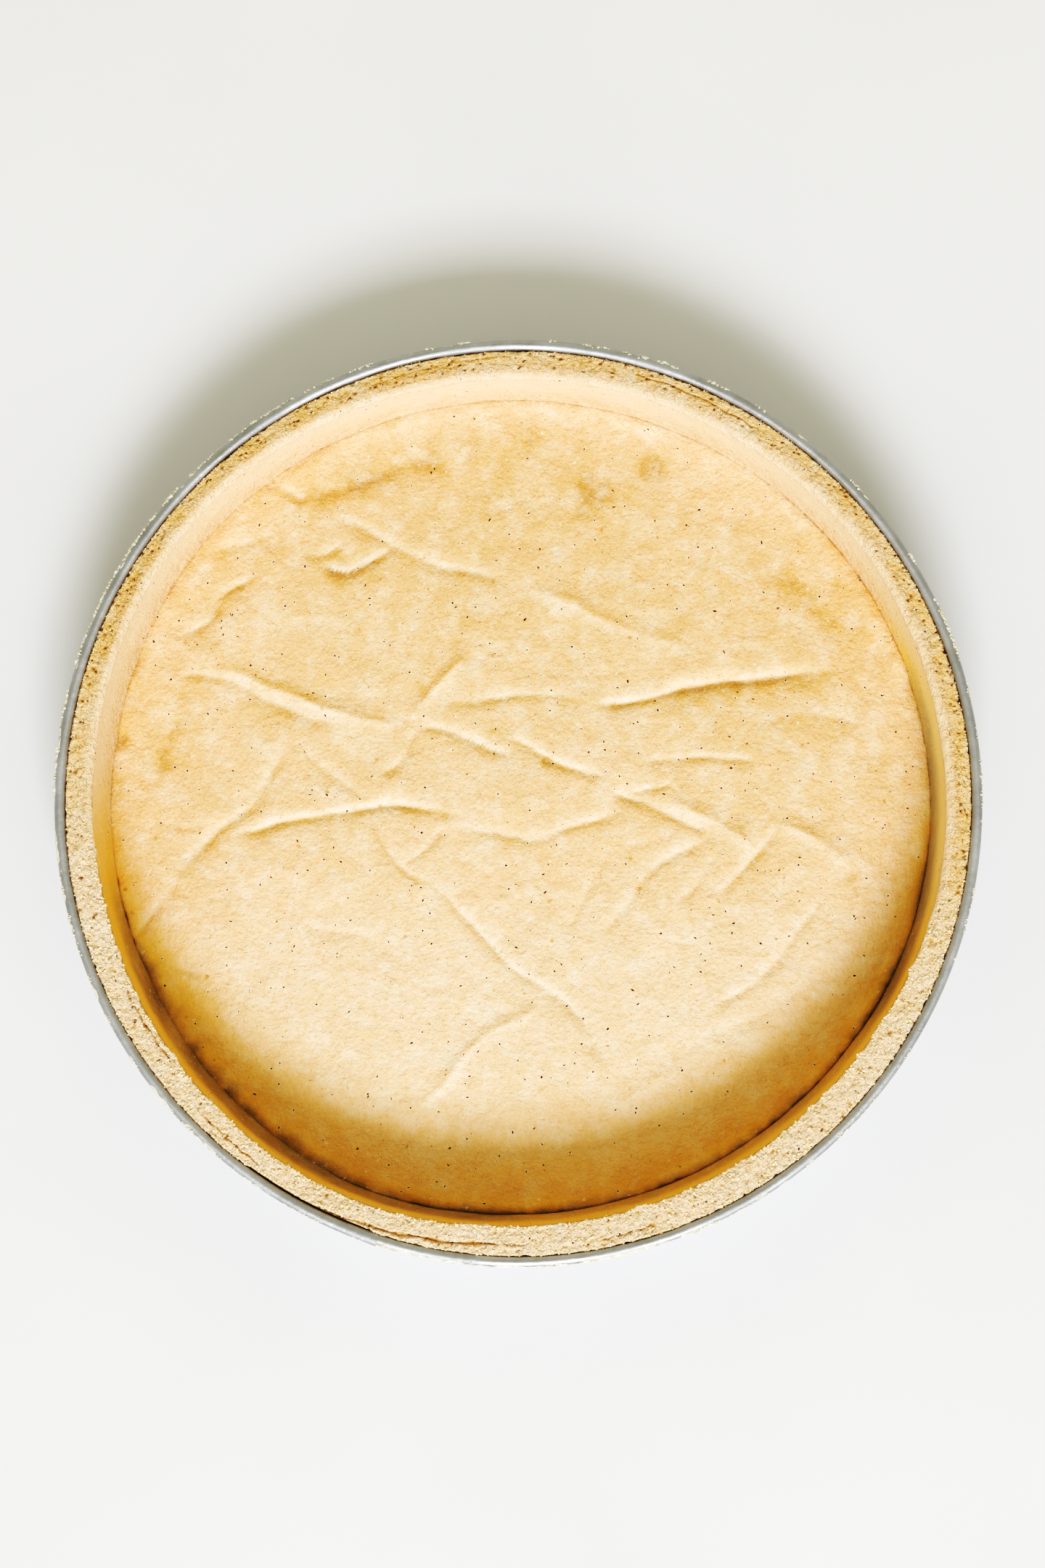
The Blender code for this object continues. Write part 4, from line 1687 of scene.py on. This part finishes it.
@dataclass
class BranFlecks:
    """Flecks of bran in the dough, on the floor's surface."""

    sizes: CaseSizes
    floor: PastryFloor
    count: int = 600
    seed: int = 91

    def build(self) -> bpy.types.Object:
        """The flecks, thicker on some parts of the floor than on others, each sunk to half its height.

        Returns:
            The flecks.
        """
        rng = np.random.default_rng(self.seed)
        angle = rng.uniform(0, TURN, 3 * self.count)
        radius = (self.sizes.pastry_inner - 3.5 * MM) * np.sqrt(rng.random(3 * self.count))
        flat = np.stack([radius * np.cos(angle), radius * np.sin(angle), 0 * angle], axis=1)
        chance = 0.33 + 0.3 * soft_noise(flat, 30 * MM, self.seed)
        flat = flat[rng.random(len(flat)) < chance][: self.count]
        size = (0.085 + 0.18 * rng.random(len(flat)) ** 3.0) * MM
        flat[:, 2] = self.floor.surface_height(flat[:, 0], flat[:, 1])
        return scatter_grains("bran_flecks", flat, size, (1.9, 0.85, 0.35), 0.08, self.seed + 1)


# Studio -------------------------------------------------------------------------------------------

# Scene brightness and the brightness that it is shown with.
TONES = (
    (0.0, 0.0), (0.06, 0.008), (0.13, 0.03), (0.2, 0.09),
    (0.32, 0.28), (0.5, 0.53), (0.75, 0.785), (1.0, 0.945),
)


@dataclass
class Studio:
    """A plain pale floor, a broad soft light on the near side, a faint bounce behind, a camera above."""

    sizes: CaseSizes
    key_share: float = 0.54
    key_elevation: float = 43.0
    key_bearing: float = 6.0
    key_size: tuple[float, float] = (1.3, 0.95)
    bounce_share: float = 0.025
    bounce_elevation: float = 32.0
    bounce_size: tuple[float, float] = (2.4, 1.2)
    sky_zenith: float = 0.54
    sky_horizon: float = 0.74
    lamp_distance: float = 3.0
    eye_height: float = 0.6555
    eye_tilt: float = 3.9
    eye_side: float = 1.0
    aim_across: float = 1.48 * MM
    aim_along: float = 3.6 * MM
    lens: float = 57.0
    floor_half: float = 4.0
    cool: Colour = (0.97, 1.0, 1.14)
    warm: Colour = (1.0, 0.965, 0.80)

    def lay_floor(self) -> None:
        """The pale surface that the tin stands on."""
        points = np.array([(-1, -1, 0), (1, -1, 0), (1, 1, 0), (-1, 1, 0)]) * self.floor_half
        surface = mesh_piece("studio_floor", points, np.array([[0, 1, 2, 3]]))
        bench = ShaderBench("pale_paper")
        cloud = bench.span(bench.noise(9, 3), 0.3, 0.7)
        bench.feed("Base Color", bench.blend(cloud, (0.80, 0.80, 0.80), (0.77, 0.77, 0.77)))
        bench.set(Roughness=0.7, Specular_IOR_Level=0.2)
        surface.data.materials.append(bench.material)

    def hang_lamp(
        self,
        name: str,
        bearing: float,
        elevation: float,
        size: tuple[float, float],
        share: float,
        colour: Colour,
    ) -> None:
        """Hangs one soft rectangular lamp that points at the middle of the tin.

        Its power gives a level white surface the wanted share of full brightness: pi squared times the
        distance squared times the share, over the sine of its elevation.

        Args:
            name: The lamp's name.
            bearing: Degrees round from the near side towards +X.
            elevation: Degrees above the floor.
            size: Width and height.
            share: Share of full brightness that it gives.
            colour: Its colour.
        """
        up, round_by = math.radians(elevation), math.radians(bearing)
        level = math.cos(up)
        outward = Vector((math.sin(round_by) * level, -math.cos(round_by) * level, math.sin(up)))
        place = outward * self.lamp_distance
        lamp = bpy.data.lights.new(name, "AREA")
        lamp.shape = "RECTANGLE"
        lamp.size, lamp.size_y = size
        lamp.energy = share * math.pi**2 * self.lamp_distance**2 / math.sin(up)
        lamp.color = colour
        holder = bpy.data.objects.new(name, lamp)
        holder.location = place
        holder.rotation_euler = place.to_track_quat("Z", "Y").to_euler()
        bpy.context.scene.collection.objects.link(holder)

    def light(self) -> None:
        """A cool window-like key, a bounce from behind and a warm fill, brightest round the horizon."""
        lamps = (
            ("window", self.key_bearing, self.key_elevation, self.key_size, self.key_share, self.cool),
            ("bounce", 180.0, self.bounce_elevation, self.bounce_size, self.bounce_share, self.warm),
        )
        for lamp in lamps:
            self.hang_lamp(*lamp)
        world = bpy.data.worlds.new("fill")
        world.use_nodes = True
        nodes, links = world.node_tree.nodes, world.node_tree.links
        sky = nodes["Background"]
        sky.inputs["Color"].default_value = (*self.warm, 1.0)
        split = nodes.new("ShaderNodeSeparateXYZ")
        links.new(nodes.new("ShaderNodeTexCoord").outputs["Generated"], split.inputs["Vector"])
        fade = nodes.new("ShaderNodeMapRange")
        fade.inputs["To Min"].default_value = self.sky_horizon
        fade.inputs["To Max"].default_value = self.sky_zenith
        links.new(split.outputs["Z"], fade.inputs["Value"])
        links.new(fade.outputs["Result"], sky.inputs["Strength"])
        bpy.context.scene.world = world

    def aim_camera(self) -> None:
        """The camera, a little to the near side of straight above, aimed just behind the rim's middle."""
        tilt, side = math.radians(self.eye_tilt), math.radians(self.eye_side)
        level = math.cos(tilt)
        back = Vector((math.sin(side) * level, -math.sin(tilt), level * math.cos(side))).normalized()
        aim = Vector((self.aim_across, self.aim_along, self.sizes.tin_height))
        right = Vector((0, 1, 0)).cross(back).normalized()
        up = back.cross(right)
        camera = bpy.data.objects.new("camera", bpy.data.cameras.new("camera"))
        camera.data.lens = self.lens
        camera.data.clip_start = 0.01
        turn = Matrix((right, up, back)).transposed().to_4x4()
        camera.matrix_world = Matrix.Translation(aim + back * self.eye_height) @ turn
        bpy.context.scene.collection.objects.link(camera)
        bpy.context.scene.camera = camera

    def grade(self) -> None:
        """A bright, contrasty print: the curve deepens the low tones and rolls off the high ones."""
        view = bpy.context.scene.view_settings
        view.view_transform = "Standard"
        view.use_curve_mapping = True
        print_curve = view.curve_mapping.curves[3]
        for tone_in, tone_out in TONES[1:-1]:
            print_curve.points.new(tone_in, tone_out)
        print_curve.points[0].location = TONES[0]
        print_curve.points[-1].location = TONES[-1]
        view.curve_mapping.update()

    def build(self) -> None:
        """Sets the whole stage."""
        self.lay_floor()
        self.light()
        self.aim_camera()
        self.grade()


# Assembly -----------------------------------------------------------------------------------------


def place_piece(piece: bpy.types.Object, material: bpy.types.Material, replaced: str) -> None:
    """Dresses a piece, hides the frame node that it stands for, and reports it.

    Args:
        piece: The new object.
        material: Its finish.
        replaced: The frame node that isn't shown any more.
    """
    piece.data.materials.append(material)
    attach(piece, BODY)
    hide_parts(replaced)
    LOG.info("%s: %d faces", piece.name, len(piece.data.polygons))


def main() -> None:
    """Loads the frame, builds every piece round it and sets the stage."""
    logging.basicConfig(level=logging.INFO, format="%(name)s %(message)s")
    for obj in list(bpy.data.objects):
        bpy.data.objects.remove(obj, do_unlink=True)
    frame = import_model()
    LOG.info("frame nodes: %s", ", ".join(sorted(frame["nodes"])))
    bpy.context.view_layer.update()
    sizes = CaseSizes.from_frame()
    Studio(sizes).build()

    pressed = ShortcrustFinish("shortcrust_pressed", Bake.PRESSED).make()
    cut = ShortcrustFinish("shortcrust_cut", Bake.CUT).make()
    dry = GrainFinish("dry_crumb", (0.91, 0.82, 0.62), (0.85, 0.70, 0.45)).make()
    dusty = GrainFinish("dusty_crumb", (0.80, 0.78, 0.68), (0.66, 0.62, 0.48)).make()
    bran = GrainFinish("bran", (0.17, 0.07, 0.02), (0.05, 0.022, 0.01), 0.6).make()

    place_piece(Tin(sizes).build(), TinnedSteelFinish().make(), "tin")
    floor, wall = PastryFloor(sizes), PastryWall(sizes)
    crumbs = Crumbs(sizes, wall)
    for build, material in (
        (floor.build, pressed),
        (wall.build, cut),
        (crumbs.on_bead, dusty),
        (crumbs.smear_on_bead, dusty),
        (crumbs.on_rim, dry),
        (BranFlecks(sizes, floor).build, bran),
    ):
        place_piece(build(), material, "pastry_case")


if __name__ == "__main__":
    main()
